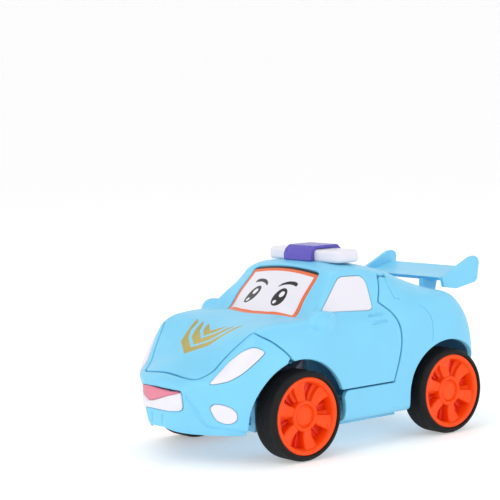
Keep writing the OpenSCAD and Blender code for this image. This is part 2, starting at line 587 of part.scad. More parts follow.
// The shell's inner frame: hinge ears, roof plate, spine and the figure's back plate
module shell_frame() color(frame_grey) car() difference() {
    union() {
        both_sides() {
            side_plate(14, 17) polygon([[36, 70.4], [38.6, 69.4], [40.8, 69], [46.4, 69.4], [46.2, 71], [44, 72.4],
                                        [40, 72.2], [36, 72]]);
            rod_x(hinge, 2.6, 14, 17);
        }
        block([-17, 28, 70.2], [17, 38.6, 71.8]);
        side_plate(-5, 5) polygon([[30.4, 71.8], [27.4, 71.4], [26, 70.2], [9.5, 55.8], [2, 52.2], [2, 50], [13, 50],
                                   [13, 53.4], [30.4, 70.2]]);
        for (p = frame_screws) translate([p[0], p[1], 68.6]) cylinder(r = 2.4, h = 3.2);
    }
    rod_x(hinge, pin_r + fit, -20, 20);
    for (p = frame_screws) translate([p[0], p[1], 60]) cylinder(r = 0.9, h = 20);
}
module figure_screws() color(pin_steel) car() for (p = frame_screws) translate([p[0], p[1], 0]) {
    translate([0, 0, 67.4]) cylinder(r = 1.9, h = 1.2);
    translate([0, 0, 68.5]) cylinder(r = 0.88, h = 4.2);
}

// Stands the figure upright in its own frame: it lies face down in the closed car
module upright() car() translate([0, hinge[0] + hinge[1], hinge[1] - hinge[0]]) rotate([90, 0, 0]) children();
shoulder = [15.6, 119.6];
shoulder_in_car = [hinge[0] + hinge[1] - shoulder[1], shoulder[0] + hinge[1] - hinge[0]];
module robot_torso() color(figure_purple) {
    upright() difference() {
        union() {
            intersection() {
                side_slab() polygon([[11.6, 99], [10.6, 104], [10.6, 111], [12, 119], [14, 123.6], [20, 124.2],
                                     [23.8, 120], [23.8, 106], [21, 96], [15, 93.4]]);
                rotate([90, 0, 0]) linear_extrude(120, center = true) polygon(mirrored([
                    [0, 125], [9, 125], [16.6, 122.6], [18.2, 117], [17.6, 108], [11.5, 99.6], [10, 93], [0, 93]]));
            }
            // Waist and the block under it
            block([-7.6, 13.2, 88], [7.6, 21, 95]);
            block([-10.4, 12.6, 83.4], [10.4, 22, 88.4]);
            // Collar under the head
            translate([0, 12.4, 121.4]) cylinder(r = 4.6, h = 3.6);
        }
        rod_x([shoulder[0], shoulder[1]], 2.4 + fit, -30, -14.4);
        rod_x([shoulder[0], shoulder[1]], 2.4 + fit, 14.4, 30);
        // Grille slots on the chest
        both_sides() for (i = [0:3]) block([5.4 + i * 2.7, 9, 102.6], [6.9 + i * 2.7, 11.8, 110.6]);
        // Pocket for the frame's spine
        block([-5.15, 23.7, 100.9], [5.15, 30, 112.2]);
    }
}
module robot_head() color(figure_purple) upright() difference() {
    union() {
        translate([0, 7.6, 125.2]) linear_extrude(15.6) polygon(mirrored([[0, 5], [5, 5], [7.4, 2], [7.4, -2.4], [4.4, -5], [0, -5.4]]));
        translate([0, 7.8, 140.4]) linear_extrude(2) polygon(mirrored([[0, 4.4], [4, 4.4], [5.8, 1.6], [5.8, -2], [3.4, -4.2], [0, -4.4]]));
        both_sides() {
            // Ear guards with raised fins
            block([6.8, 4.6, 129], [9.4, 11, 137]);
            side_plate(8.6, 10.8) polygon([[5.4, 130], [5, 139], [7.4, 144.8], [9.6, 144.8], [10.4, 137], [10, 130]]);
            // Brow
            translate([0, 2.2, 134.4]) rotate([0, 12, 0]) block([0.4, 0, 0], [7, 2.4, 1.8]);
        }
        // Crest and chin guard
        block([-1.3, 2.2, 136.4], [1.3, 9, 144.4]);
        block([-3.4, 1.9, 126], [3.4, 4, 129.8]);
        block([-0.8, 1.7, 129.8], [0.8, 3.6, 133.4]);
        translate([0, 10.4, 124.2]) cylinder(r = 3.2, h = 1.4);
    }
}
module robot_arm(left) color(figure_purple) upright() mirror([left ? 0 : 1, 0, 0]) {
    rod_x(shoulder, 2.4, 14.8, 19);
    translate([18.4, 0, 0]) {
        side_plate(0, 6.6) polygon([[10.4, 116], [11.4, 123], [15.2, 125.6], [19.6, 124], [20.8, 117.4], [18.6, 113.2], [13, 112.6]]);
        side_plate(0.8, 5.6) polygon([[14, 113.4], [19.4, 114], [25.4, 99.8], [24.4, 96.6], [21.4, 95.8], [18.8, 98]]);
        side_plate(0.2, 5) polygon([[21.8, 101.6], [25.4, 98.4], [24.6, 95.4], [14, 82.6], [10.4, 81.2], [7.6, 83.6], [8.2, 87], [18.8, 99.6]]);
    }
}
module robot_left_arm() robot_arm(true);
module robot_right_arm() robot_arm(false);

// The nose's inner frame: shelf, side arms to the nose pivots, lugs to the lift arm, and hooks
module nose_frame() color(body_blue) car() difference() {
    union() {
        translate([0, 0, 23.8]) linear_extrude(1.8) polygon(mirrored([
            [0, -38], [8, -37.6], [13, -36], [17, -33.6], [21.5, -30], [24.5, -27], [24.5, -23.8],
            [chassis_half_w, -21], [chassis_half_w, 3.4],
            [7, 3.4], [7, -2.6], [0, -2.6]]));
        both_sides() {
            block([20, -24, 23.8], [33, -22, 29.5]);
            side_plate(31, 33) polygon([[-24, 24], [-22, 24], [-21.4, 29], [-16, 36.8], [-8, 40], [5, 42.4], [15, 45.4],
                                        [20, 46.8], [20, 53.4], [9, 51.6], [-2, 48.6], [-11, 44.4], [-17, 40],
                                        [-22, 35], [-24, 31]]);
            rod_x(nose_pivot, 3.4, 31, 33);
            side_plate(8.2, 11) polygon([[2, 23.8], [8, 20.9], [12, 20.9], [13.2, 23.5], [12, 26.4], [2, 25.6]]);
            rod_x(lift_tip, 3, 8.2, 11);
            // Hook and its stem, reaching into the slots of the chassis front
            block([14.4, -22, 13.4], [16, -20.4, 24]);
            block([14.4, -22, 13.4], [16, -8.6, 15]);
            // Ties to the skin
            block([14.6, -36.4, 22], [16.6, -32, 25.6]);
        }
    }
    rod_x(lift_tip, pin_r + fit + 0.1, -20, 20);
    both_sides() rod_x(nose_pivot, pin_r + fit, 25, 40);
}
module nose_pins() color(pin_steel) car() both_sides() {
    rod_x(nose_pivot, pin_r, 30.6, 36.4);
    rod_x(nose_pivot, 2.4, 29.8, 30.6);
}
module lift_arm() color(lamp_white) car() difference() {
    both_sides() {
        for (p = [lift_pivot, lift_tip]) rod_x(p, 2.8, 11.8, 14.6);
        side_plate(11.8, 14.6) polygon([
            [lift_pivot[0] - 1.8, lift_pivot[1] + 2.1], [lift_pivot[0] + 1.8, lift_pivot[1] - 2.1],
            [lift_tip[0] + 1.8, lift_tip[1] - 2.1], [lift_tip[0] - 1.8, lift_tip[1] + 2.1]]);
        side_plate(0, 12.2) polygon([[18.4, 32.6], [19.6, 31.2], [14.8, 27.2], [13.6, 28.6]]);
    }
    rod_x(lift_pivot, pin_r + fit, -20, 20);
    rod_x(lift_tip, pin_r, -20, 20);
}
module lift_tip_pin() color(pin_steel) car() both_sides() rod_x(lift_tip, pin_r, 7.6, 14.6);

chassis_base();
chassis_deck();
chassis_screws();
rear_body();
spoiler();
motor_frame();
shell_hinge_pin();
lift_pivot_pin();
lift_spring();
trigger_block();
trigger_spring();
front_axle();
front_left_rim();
front_right_rim();
front_left_tyre();
front_right_tyre();
rear_axle();
rear_left_rim();
rear_right_rim();
rear_left_tyre();
rear_right_tyre();
drive_gear();
idler_gear();
idler_shaft();
flywheel();
flywheel_shaft();
cabin_shell();
windshield();
left_window();
right_window();
light_bar();
light_bar_cap();
shell_frame();
figure_screws();
robot_torso();
robot_head();
robot_left_arm();
robot_right_arm();
nose_shell();
nose_frame();
left_headlight();
right_headlight();
left_fog_lamp();
right_fog_lamp();
mouth_lips();
tongue();
nose_pins();
lift_arm();
lift_tip_pin();
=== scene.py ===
import json
import math

import bmesh
import bpy
import numpy as np
from mathutils import Matrix, Vector

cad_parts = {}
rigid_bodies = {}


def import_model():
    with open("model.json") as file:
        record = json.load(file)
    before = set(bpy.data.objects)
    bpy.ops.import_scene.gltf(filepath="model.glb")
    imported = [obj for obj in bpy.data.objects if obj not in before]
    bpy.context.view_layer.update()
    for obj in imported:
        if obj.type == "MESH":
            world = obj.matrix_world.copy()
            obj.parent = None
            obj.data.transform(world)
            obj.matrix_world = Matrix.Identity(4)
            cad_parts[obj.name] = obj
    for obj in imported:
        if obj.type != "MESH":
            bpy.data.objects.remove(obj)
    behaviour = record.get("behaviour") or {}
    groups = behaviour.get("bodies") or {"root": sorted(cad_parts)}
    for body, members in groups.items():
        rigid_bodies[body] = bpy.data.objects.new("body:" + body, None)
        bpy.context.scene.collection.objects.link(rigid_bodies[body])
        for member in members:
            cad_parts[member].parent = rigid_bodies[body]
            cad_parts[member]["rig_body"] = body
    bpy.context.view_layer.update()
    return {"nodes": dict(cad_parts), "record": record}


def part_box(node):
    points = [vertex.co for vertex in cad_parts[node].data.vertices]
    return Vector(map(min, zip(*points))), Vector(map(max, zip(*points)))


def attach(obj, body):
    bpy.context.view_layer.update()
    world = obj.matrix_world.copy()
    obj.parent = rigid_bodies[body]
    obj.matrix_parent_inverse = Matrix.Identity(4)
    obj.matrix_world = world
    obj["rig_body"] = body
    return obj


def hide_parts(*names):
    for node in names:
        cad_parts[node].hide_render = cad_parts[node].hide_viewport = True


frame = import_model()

# Looks of the spring-up robot car. Lengths are millimetres in the car's own frame, with y = 0 at the
# front axle, until to_frame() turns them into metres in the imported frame.
MM = 0.001


def node_middle(node):
    """Middle of a CAD node's box in millimetres."""
    low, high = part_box(node)
    return (low + high) / 2 / MM


FRONT_AXLE_Y = node_middle("front_axle").y
WHEELBASE = node_middle("rear_axle").y - FRONT_AXLE_Y
AXLE_Z = node_middle("front_axle").z
WHEEL_FACE_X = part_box("front_left_tyre")[1].x / MM
TYRE_W = WHEEL_FACE_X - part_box("front_left_tyre")[0].x / MM
WALL = 1.8
SEAM = 0.3


def to_frame(points):
    return (np.asarray(points, float) + (0, FRONT_AXLE_Y, 0)) * MM


# ---------------------------------------------------------------- materials

def plastic(name, colour, roughness=0.34, grain=0.012, mottle=0.025, coat=0.0, subsurface=0.0, fleck=9000):
    """Moulded plastic: faint colour drift, uneven gloss and a fine moulding grain."""
    material = bpy.data.materials.new(name)
    material.use_nodes = True
    nodes = material.node_tree.nodes
    links = material.node_tree.links
    shader = nodes["Principled BSDF"]
    place = nodes.new("ShaderNodeTexCoord")

    drift = nodes.new("ShaderNodeTexNoise")
    drift.inputs["Scale"].default_value = 60
    drift.inputs["Detail"].default_value = 3
    links.new(place.outputs["Object"], drift.inputs["Vector"])
    tint = nodes.new("ShaderNodeValToRGB")
    tint.color_ramp.elements[0].position = 0.3
    tint.color_ramp.elements[1].position = 0.7
    tint.color_ramp.elements[0].color = [c * (1 - mottle) for c in colour] + [1]
    tint.color_ramp.elements[1].color = [min(1, c * (1 + mottle)) for c in colour] + [1]
    links.new(drift.outputs["Fac"], tint.inputs["Fac"])
    links.new(tint.outputs["Color"], shader.inputs["Base Color"])

    gloss = nodes.new("ShaderNodeTexNoise")
    gloss.inputs["Scale"].default_value = 260
    gloss.inputs["Detail"].default_value = 4
    links.new(place.outputs["Object"], gloss.inputs["Vector"])
    spread = nodes.new("ShaderNodeMapRange")
    spread.inputs["To Min"].default_value = roughness * 0.88
    spread.inputs["To Max"].default_value = roughness * 1.14
    links.new(gloss.outputs["Fac"], spread.inputs["Value"])
    links.new(spread.outputs["Result"], shader.inputs["Roughness"])

    fine = nodes.new("ShaderNodeTexNoise")
    fine.inputs["Scale"].default_value = fleck
    fine.inputs["Detail"].default_value = 2
    links.new(place.outputs["Object"], fine.inputs["Vector"])
    bump = nodes.new("ShaderNodeBump")
    bump.inputs["Strength"].default_value = 0.35
    bump.inputs["Distance"].default_value = grain * MM
    links.new(fine.outputs["Fac"], bump.inputs["Height"])
    links.new(bump.outputs["Normal"], shader.inputs["Normal"])
    shader.inputs["Coat Weight"].default_value = coat
    shader.inputs["Coat Roughness"].default_value = 0.12
    shader.inputs["Subsurface Weight"].default_value = subsurface
    shader.inputs["Subsurface Radius"].default_value = (1, 1, 1)
    shader.inputs["Subsurface Scale"].default_value = 1.2 * MM
    return material


def steel(name):
    """Turned steel wire and pins: fine streaks round the pin and a bright, slightly uneven finish."""
    material = bpy.data.materials.new(name)
    material.use_nodes = True
    nodes = material.node_tree.nodes
    links = material.node_tree.links
    shader = nodes["Principled BSDF"]
    shader.inputs["Metallic"].default_value = 1
    place = nodes.new("ShaderNodeTexCoord")
    streak = nodes.new("ShaderNodeMapping")
    streak.inputs["Scale"].default_value = (9000, 300, 300)
    links.new(place.outputs["Object"], streak.inputs["Vector"])
    noise = nodes.new("ShaderNodeTexNoise")
    noise.inputs["Scale"].default_value = 1
    noise.inputs["Detail"].default_value = 3
    links.new(streak.outputs["Vector"], noise.inputs["Vector"])
    tint = nodes.new("ShaderNodeValToRGB")
    tint.color_ramp.elements[0].color = (0.5, 0.5, 0.52, 1)
    tint.color_ramp.elements[1].color = (0.68, 0.68, 0.7, 1)
    links.new(noise.outputs["Fac"], tint.inputs["Fac"])
    links.new(tint.outputs["Color"], shader.inputs["Base Color"])
    spread = nodes.new("ShaderNodeMapRange")
    spread.inputs["To Min"].default_value = 0.18
    spread.inputs["To Max"].default_value = 0.34
    links.new(noise.outputs["Fac"], spread.inputs["Value"])
    links.new(spread.outputs["Result"], shader.inputs["Roughness"])
    return material


BLUE = (0.2, 0.62, 0.88)
MATERIALS = {
    "body_blue": plastic("body_blue", BLUE, roughness=0.36, subsurface=0.08),
    "lamp_white": plastic("lamp_white", (0.8, 0.78, 0.85), roughness=0.3, mottle=0.015),
    "white_plastic": plastic("white_plastic", (0.76, 0.75, 0.82), roughness=0.45, mottle=0.02),
    "cap_purple": plastic("cap_purple", (0.105, 0.075, 0.47), roughness=0.28, mottle=0.04),
    "figure_purple": plastic("figure_purple", (0.028, 0.012, 0.2), roughness=0.27, mottle=0.06, coat=0.15),
    "frame_grey": plastic("frame_grey", (0.36, 0.37, 0.44), roughness=0.42),
    "rim_orange": plastic("rim_orange", (0.95, 0.075, 0.002), roughness=0.4, mottle=0.03, subsurface=0.05),
    "tyre_black": plastic("tyre_black", (0.006, 0.006, 0.007), roughness=0.62, grain=0.03, mottle=0.2),
    "tongue_pink": plastic("tongue_pink", (0.74, 0.21, 0.3), roughness=0.25, mottle=0.03),
    "gear_plastic": plastic("gear_plastic", (0.8, 0.77, 0.62), roughness=0.4),
    "steel": steel("steel"),
}
for name in ("tyre_black", "rim_orange"):
    MATERIALS[name].node_tree.nodes["Principled BSDF"].inputs["Specular IOR Level"].default_value = 0.25
GOLD = plastic("print_gold", (0.44, 0.36, 0.085), roughness=0.42, mottle=0.14, fleck=5000)
PRINT_ORANGE = plastic("print_orange", (0.80, 0.16, 0.055), roughness=0.35, mottle=0.04)
# Black for the prints, and for the band of painted shade along the windshield's top
PRINT_AND_SHADE_BLACK = plastic("print_and_shade_black", (0.012, 0.012, 0.016), roughness=0.3, mottle=0.1)
PRINT_WHITE = plastic("print_white", (0.82, 0.81, 0.86), roughness=0.3, mottle=0.01)
RIM_RED = plastic("rim_red", (0.86, 0.035, 0.004), roughness=0.4, mottle=0.04)

SLOT_OF = {part["node"]: part["material_slot"] for part in frame["record"]["subparts"]}
for node, item in frame["nodes"].items():
    item.data.materials.clear()
    item.data.materials.append(MATERIALS[SLOT_OF[node]])


# ---------------------------------------------------------------- meshes and pieces

def mesh_piece(name, points, faces, materials, marks=None, sharp=38):
    """Object from points in the car's frame. Edges sharper than the angle keep a crease."""
    mesh = bpy.data.meshes.new(name)
    mesh.from_pydata(to_frame(points).tolist(), [], [list(map(int, f)) for f in faces])
    for material in materials:
        mesh.materials.append(material)
    if marks is not None:
        mesh.polygons.foreach_set("material_index", np.asarray(marks, np.int32))
    mesh.validate()
    mesh.shade_smooth()
    mesh.set_sharp_from_angle(angle=math.radians(sharp))
    item = bpy.data.objects.new(name, mesh)
    bpy.context.scene.collection.objects.link(item)
    return item


def stand_for(piece, *nodes):
    """The piece takes the place and the body of CAD nodes, which it hides."""
    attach(piece, frame["nodes"][nodes[0]]["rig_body"])
    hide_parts(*nodes)
    return piece


# ---------------------------------------------------------------- outlines and distances

def catmull_rom(p, steps):
    """Smooth curve through a row of points, whose first and last only set the direction at the ends."""
    t = (np.arange(steps) / steps)[:, None]
    rows = []
    for a, b, c, d in zip(p, p[1:], p[2:], p[3:]):
        square = (2 * a - 5 * b + 4 * c - d) * t ** 2
        cube = (3 * b - a - 3 * c + d) * t ** 3
        rows.append(0.5 * (2 * b + (c - a) * t + square + cube))
    return np.vstack(rows + [p[-2:-1]])


def spline(points, steps=6):
    """Smooth curve through an open row of points."""
    p = np.asarray(points, float)
    return catmull_rom(np.vstack([2 * p[0] - p[1], p, 2 * p[-1] - p[-2]]), steps)


def rounded(points, radius, steps=6):
    """Closed outline with each corner turned into a curve that starts a radius before it."""
    p = np.asarray(points, float)
    result = []
    for before, corner, after in zip(np.roll(p, 1, 0), p, np.roll(p, -1, 0)):
        ends = []
        for other in (before, after):
            span = np.linalg.norm(other - corner)
            ends.append(corner + (other - corner) * min(radius, 0.48 * span) / span)
        for t in np.arange(steps + 1) / steps:
            result.append((1 - t) ** 2 * ends[0] + 2 * t * (1 - t) * corner + t ** 2 * ends[1])
    return np.array(result)


def mirrored(half):
    """Half outline [x, other] at positive x, followed by its mirror image."""
    half = np.asarray(half, float)
    back = half[::-1][half[::-1, 0] > 0] * (-1, 1)
    return np.vstack([half, back])


def line_distance(q, line, closed=False):
    """Distance from points to a line through a row of points."""
    line = np.asarray(line, float)
    starts = line if closed else line[:-1]
    ends = np.roll(line, -1, 0) if closed else line[1:]
    best = np.full(len(q), 1e9)
    for a, b in zip(starts, ends):
        along = b - a
        length = along @ along
        t = np.clip(((q - a) @ along) / length, 0, 1) if length > 0 else np.zeros(len(q))
        best = np.minimum(best, np.linalg.norm(q - a - t[:, None] * along, axis=1))
    return best


def outline_distance(q, outline):
    """Distance to a closed outline, positive inside it."""
    outline = np.asarray(outline, float)
    inside = np.zeros(len(q), bool)
    for a, b in zip(outline, np.roll(outline, -1, 0)):
        if a[1] == b[1]:
            continue
        spans = (a[1] > q[:, 1]) != (b[1] > q[:, 1])
        inside ^= spans & (q[:, 0] < (b[0] - a[0]) * (q[:, 1] - a[1]) / (b[1] - a[1]) + a[0])
    reach = line_distance(q, outline, closed=True)
    return np.where(inside, reach, -reach)


# Measures of skin points p: positive inside an outline seen from the side, from above or from the front

def side(outline):
    return lambda p: outline_distance(p[:, 1:], outline)


def plan(outline):
    return lambda p: outline_distance(p[:, :2], outline)


def side_line(line):
    return lambda p: line_distance(p[:, 1:], line)


def front(outline):
    return lambda p: outline_distance(p[:, ::2], outline)


def without(*measures, gap=0.0):
    return lambda p: -np.maximum.reduce([m(p) for m in measures]) - gap


def both(*measures):
    return lambda p: np.minimum.reduce([m(p) for m in measures])


def either(*measures):
    return lambda p: np.maximum.reduce([m(p) for m in measures])


def grown(measure, by):
    return lambda p: measure(p) + by


# ---------------------------------------------------------------- sheets of skin

def split_triangles(corner, index, marks):
    """Splits triangles at new points on their edges. The index is -1 where an edge has none."""
    count = (index >= 0).sum(1)
    parts, part_marks = [corner[count == 0]], [marks[count == 0]]

    def add(chosen, *pieces):
        parts.extend(np.stack(piece, 1) for piece in pieces)
        part_marks.extend([marks[chosen]] * len(pieces))

    three = count == 3
    (a, b, c), (ab, bc, ca) = corner[three].T, index[three].T
    add(three, (a, ab, ca), (ab, b, bc), (ca, bc, c), (ab, bc, ca))
    for turn in range(3):
        turned_corner, turned_index = np.roll(corner, -turn, 1), np.roll(index, -turn, 1)
        one = (count == 1) & (turned_index[:, 0] >= 0)
        (a, b, c), ab = turned_corner[one].T, turned_index[one, 0]
        add(one, (a, ab, c), (ab, b, c))
        two = (count == 2) & (turned_index[:, 1] < 0)
        (a, b, c), (ab, _, ca) = turned_corner[two].T, turned_index[two].T
        add(two, (a, ab, ca), (ab, b, c), (ab, c, ca))
    return np.vstack(parts), np.concatenate(part_marks)


class Sheet:
    """Triangles on a surface, each with a mark that says which print or painted shade it carries.

    A row of data is a point: its place, the direction that thickness follows and its lift.
    """

    def __init__(self, data, triangles, marks=None):
        self.data = data
        self.triangles = triangles
        self.marks = np.zeros(len(triangles), int) if marks is None else marks

    @property
    def base(self):
        return self.data[:, :3]

    def copy(self):
        return Sheet(self.data.copy(), self.triangles.copy(), self.marks.copy())

    def cut(self, measure, level=0.0):
        """Adds edges along the line where the measure passes the level, and returns measure minus level."""
        value = measure(self.base) - level
        value[np.abs(value) < 1e-3] = 0
        corner = self.triangles
        sign = np.sign(value)[corner]
        crossed = sign * np.roll(sign, -1, 1) < 0
        edges = np.stack([corner, np.roll(corner, -1, 1)], 2)
        pairs, place = np.unique(np.sort(edges[crossed], 1), axis=0, return_inverse=True)
        if len(pairs) == 0:
            return value
        a, b = pairs.T
        t = (value[a] / (value[a] - value[b]))[:, None]
        new = self.data[a] * (1 - t) + self.data[b] * t
        index = np.full(crossed.shape, -1)
        index[crossed] = len(self.data) + place.ravel()
        self.data = np.vstack([self.data, new])
        self.triangles, self.marks = split_triangles(corner, index, self.marks)
        return np.concatenate([value, np.zeros(len(new))])

    def refine(self, distance, reach, length):
        """Splits edges longer than a length where the distance from a feature is less than a reach."""
        for _ in range(5):
            corner = self.triangles
            edges = np.stack([corner, np.roll(corner, -1, 1)], 2)
            near = distance(self.base) < reach
            span = np.linalg.norm(self.base[edges[..., 0]] - self.base[edges[..., 1]], axis=2)
            split = (span > length) & (near[edges].any(2) | near[corner].all(1)[:, None])
            pairs, place = np.unique(np.sort(edges.reshape(-1, 2), 1), axis=0, return_inverse=True)
            place = place.reshape(split.shape)
            chosen = np.zeros(len(pairs), bool)
            chosen[place[split]] = True
            if not chosen.any():
                break
            number = np.cumsum(chosen) - 1 + len(self.data)
            self.data = np.vstack([self.data, self.data[pairs[chosen]].mean(1)])
            index = np.where(chosen[place], number[place], -1)
            self.triangles, self.marks = split_triangles(corner, index, self.marks)
        return self

    def lift(self, height):
        """Raises every point along its own direction, by one height or by a height each."""
        self.data[:, 6] += height
        return self

    def trim(self, measure):
        """Keeps what lies where the measure is positive."""
        value = self.cut(measure)
        keep = (value[self.triangles] > 0).any(1) & (value[self.triangles] >= 0).all(1)
        self.triangles, self.marks = self.triangles[keep], self.marks[keep]
        used = np.unique(self.triangles)
        place = np.full(len(self.data), -1)
        place[used] = np.arange(len(used))
        self.data, self.triangles = self.data[used], place[self.triangles]
        return self

    def round_edge(self, measure, radius):
        """Rolls the skin over where the measure falls to zero."""
        for part in (0.12, 0.4, 0.72, 1):
            self.cut(measure, part * radius)
        reach = radius - np.clip(measure(self.base), 0, radius)
        return self.lift(np.sqrt(radius ** 2 - reach ** 2) - radius)

    def groove(self, line, width, depth):
        """Sinks a channel along a line, whose measure is the distance from it."""
        for part in (0.5, 0.36, 0.2):
            self.cut(line, part * width)
        t = np.clip((0.5 - line(self.base) / width) / 0.3, 0, 1)
        return self.lift(-depth * t * t * (3 - 2 * t))

    def raise_area(self, measure, height, ramp):
        """Lifts the skin where the measure is positive, over a ramp inside its edge."""
        for part in (0, 0.33, 0.67, 1):
            self.cut(measure, part * ramp)
        t = np.clip(measure(self.base) / ramp, 0, 1)
        return self.lift(height * t * t * (3 - 2 * t))

    def bulge(self, centre, reach, height, power):
        """Swells the skin over an ellipsoid round the centre and over its mirror image."""
        q = (self.base * (np.sign(self.base[:, :1]) * (1, 0, 0) + (0, 1, 1)) - centre) / reach
        return self.lift(height * np.clip(1 - (q ** 2).sum(1), 0, 1) ** power)

    def mark(self, measure, material):
        """Puts a material where the measure is positive: a print, or the painted shade band on the
        windshield.
        """
        value = self.cut(measure)
        self.marks[(value[self.triangles] > 0).any(1) & (value[self.triangles] >= 0).all(1)] = material
        return self

    def solid(self, name, materials, thickness, offset):
        """The sheet as a closed solid, whose inside follows the surface at one thickness."""
        lift = (self.data[:, 6] + offset)[:, None]
        outer = self.base + self.data[:, 3:6] * lift
        inner = self.base + self.data[:, 3:6] * (offset - thickness)
        n = len(outer)
        edges = np.vstack([self.triangles[:, [i, (i + 1) % 3]] for i in range(3)])
        there = set(map(tuple, edges))
        rim = [(a, b) for a, b in edges if (b, a) not in there]
        faces = [*self.triangles, *(self.triangles[:, ::-1] + n), *[(b, a, a + n, b + n) for a, b in rim]]
        marks = np.concatenate([self.marks, np.zeros(len(self.triangles) + len(rim), int)])
        return mesh_piece(name, np.vstack([outer, inner]), faces, materials, marks)


# ---------------------------------------------------------------- body surface

# Half sections of the body from the sill to the crown: [y, [[x, z], ...]]
STATIONS = [
    [-43.2, [[4.5, 15], [6, 16.6], [7.6, 20.5], [8.2, 24.5], [8.2, 27],
             [7.8, 28.6], [7, 29.6], [5.6, 30.3], [3, 30.8], [0, 31]]],
    [-41.6, [[6.4, 13.9], [8.4, 15.7], [10, 20.5], [10.4, 25], [11, 28.4],
             [11.6, 30.4], [11, 31.7], [8.8, 32.6], [4.8, 33.1], [0, 33.4]]],
    [-38.8, [[10, 12.8], [12.2, 15], [14, 20.5], [14.6, 25.4], [16.2, 29.2],
             [17.4, 31.6], [16, 33.2], [12.4, 34.4], [6.8, 35.1], [0, 35.4]]],
    [-35, [[15, 12.2], [17.6, 14.8], [19.4, 20.8], [20.2, 26.2], [22.4, 30],
           [23.2, 32.6], [20.6, 34.3], [16.2, 35.5], [9.2, 37.4], [0, 38.2]]],
    [-31, [[20.6, 12], [23.4, 14.8], [25.2, 21.2], [26.4, 27.6], [28.2, 32],
           [27, 35], [23.2, 36.7], [18.4, 37.8], [10, 39.9], [0, 40.8]]],
    [-27, [[26, 12], [29.2, 15], [30.8, 21.8], [31.8, 29], [32, 34.2],
           [30, 38.4], [25.9, 41], [21.6, 42.4], [11, 43.4], [0, 43.6]]],
    [-22, [[30.4, 12], [34, 15], [35.4, 22], [35.8, 30.4], [35, 36.8],
           [32.6, 42.4], [28.4, 46.6], [23.5, 47.6], [12, 47], [0, 46.4]]],
    [-17, [[33.2, 12], [37, 15], [38.2, 23], [38.2, 32.5], [36.8, 40],
           [33.8, 46.8], [30, 51.6], [24.5, 51.4], [12.5, 50], [0, 49.4]]],
    [-10, [[35.4, 12], [39.1, 15], [40.2, 24], [39.7, 35], [37.8, 43.4],
           [35, 49.6], [31.4, 53.6], [25.5, 54], [13, 53], [0, 52.4]]],
    [0, [[35.6, 12], [39.4, 15], [40.5, 26], [40, 38], [38.2, 46.6],
         [35.4, 52.2], [31.2, 54.6], [25.5, 54.8], [13, 55.2], [0, 54.8]]],
    [4.5, [[35.4, 12], [39.3, 15], [40.3, 27], [39.8, 39.5], [38, 48],
           [35.2, 53.4], [30.8, 54.8], [24.5, 54.6], [12.5, 55.6], [0, 55.6]]],
    [10, [[35.2, 12], [39.2, 15], [40, 28], [39.5, 41], [37.8, 50],
          [34.6, 55.2], [30.5, 55.8], [23, 54.8], [12, 58.8], [0, 60]]],
    [16, [[35, 12], [39.1, 15], [39.7, 28.5], [39.3, 41.5], [37.6, 51],
          [33.6, 57.4], [31.6, 60.4], [24, 61.4], [12, 64], [0, 65]]],
    [22, [[34.9, 12], [39, 15], [39.4, 29], [39, 41.5], [37.3, 51.5],
          [33.5, 57.4], [30.4, 64.4], [25.2, 67.2], [12.5, 69.4], [0, 70.2]]],
    [26.5, [[34.9, 12], [39, 15], [39.2, 29], [38.9, 41.5], [37.1, 51.6],
            [33.5, 57.2], [29.2, 67.8], [25.4, 71.6], [13, 73.4], [0, 74]]],
    [33, [[34.8, 12], [38.9, 15], [39.1, 29], [38.8, 41.5], [37, 51.5],
          [33.6, 56.8], [28.6, 70], [25.8, 73], [13.5, 74.6], [0, 75]]],
    [42, [[34.8, 12], [38.9, 15], [39, 29], [38.7, 41.5], [37, 51.2],
          [33.8, 56.4], [28.8, 69.2], [25.5, 72.4], [13.5, 74.2], [0, 74.6]]],
    [50, [[34.8, 12], [38.9, 15], [38.9, 29], [38.5, 41.5], [37, 51],
          [34.4, 56.8], [29.4, 67.4], [25, 70.9], [13.2, 72.8], [0, 73.2]]],
    [58, [[34.9, 12], [39, 15], [39.4, 29], [39.2, 41], [38.4, 50.6],
          [35.8, 57], [30.2, 64.8], [25, 69], [13, 70.9], [0, 71.4]]],
    [66, [[35, 12], [39.2, 15], [40, 29], [40, 41], [39.2, 50.4],
          [36.4, 56.8], [31, 61.8], [24.6, 65.8], [12.8, 68.2], [0, 68.8]]],
    [74, [[35.2, 12], [39.4, 15], [40.4, 29], [40.4, 41], [39.4, 50.6],
          [36.4, 57.2], [31.5, 60], [24.5, 62.8], [12.8, 65], [0, 65.6]]],
    [82, [[35.2, 12], [39.4, 15], [40.5, 29], [40.3, 41], [39, 50.4],
          [36, 56.9], [31.5, 59.6], [24, 60.6], [12.5, 62], [0, 62.4]]],
    [89, [[34.8, 12], [39, 15], [39.8, 28], [39.4, 40], [38, 49.2],
          [34.6, 55.4], [30, 58.2], [23, 59], [12, 59.6], [0, 59.8]]],
    [94, [[33.4, 12.2], [37.4, 15], [38.4, 27], [38, 38.5], [36.4, 46.6],
          [33, 52.2], [28.2, 55], [21.5, 56], [11.5, 56.6], [0, 56.8]]],
    [98, [[30, 12.6], [34, 15.4], [35.2, 26], [34.9, 36], [33, 43.4],
          [29.6, 48.4], [24.8, 51], [19, 52], [10, 52.6], [0, 52.8]]],
    [100.6, [[24, 14], [27.6, 17], [28.8, 26], [28.4, 34], [26.6, 39.6],
             [23.4, 43.2], [19.4, 45.2], [14.5, 46], [7.5, 46.5], [0, 46.6]]],
    [101.4, [[19, 16.5], [22, 19], [23, 26], [22.8, 32], [21.4, 36.2],
             [18.8, 39.2], [15.4, 41], [11.4, 41.8], [6, 42.2], [0, 42.3]]],
]
ROWS = 5
COLUMNS = 5


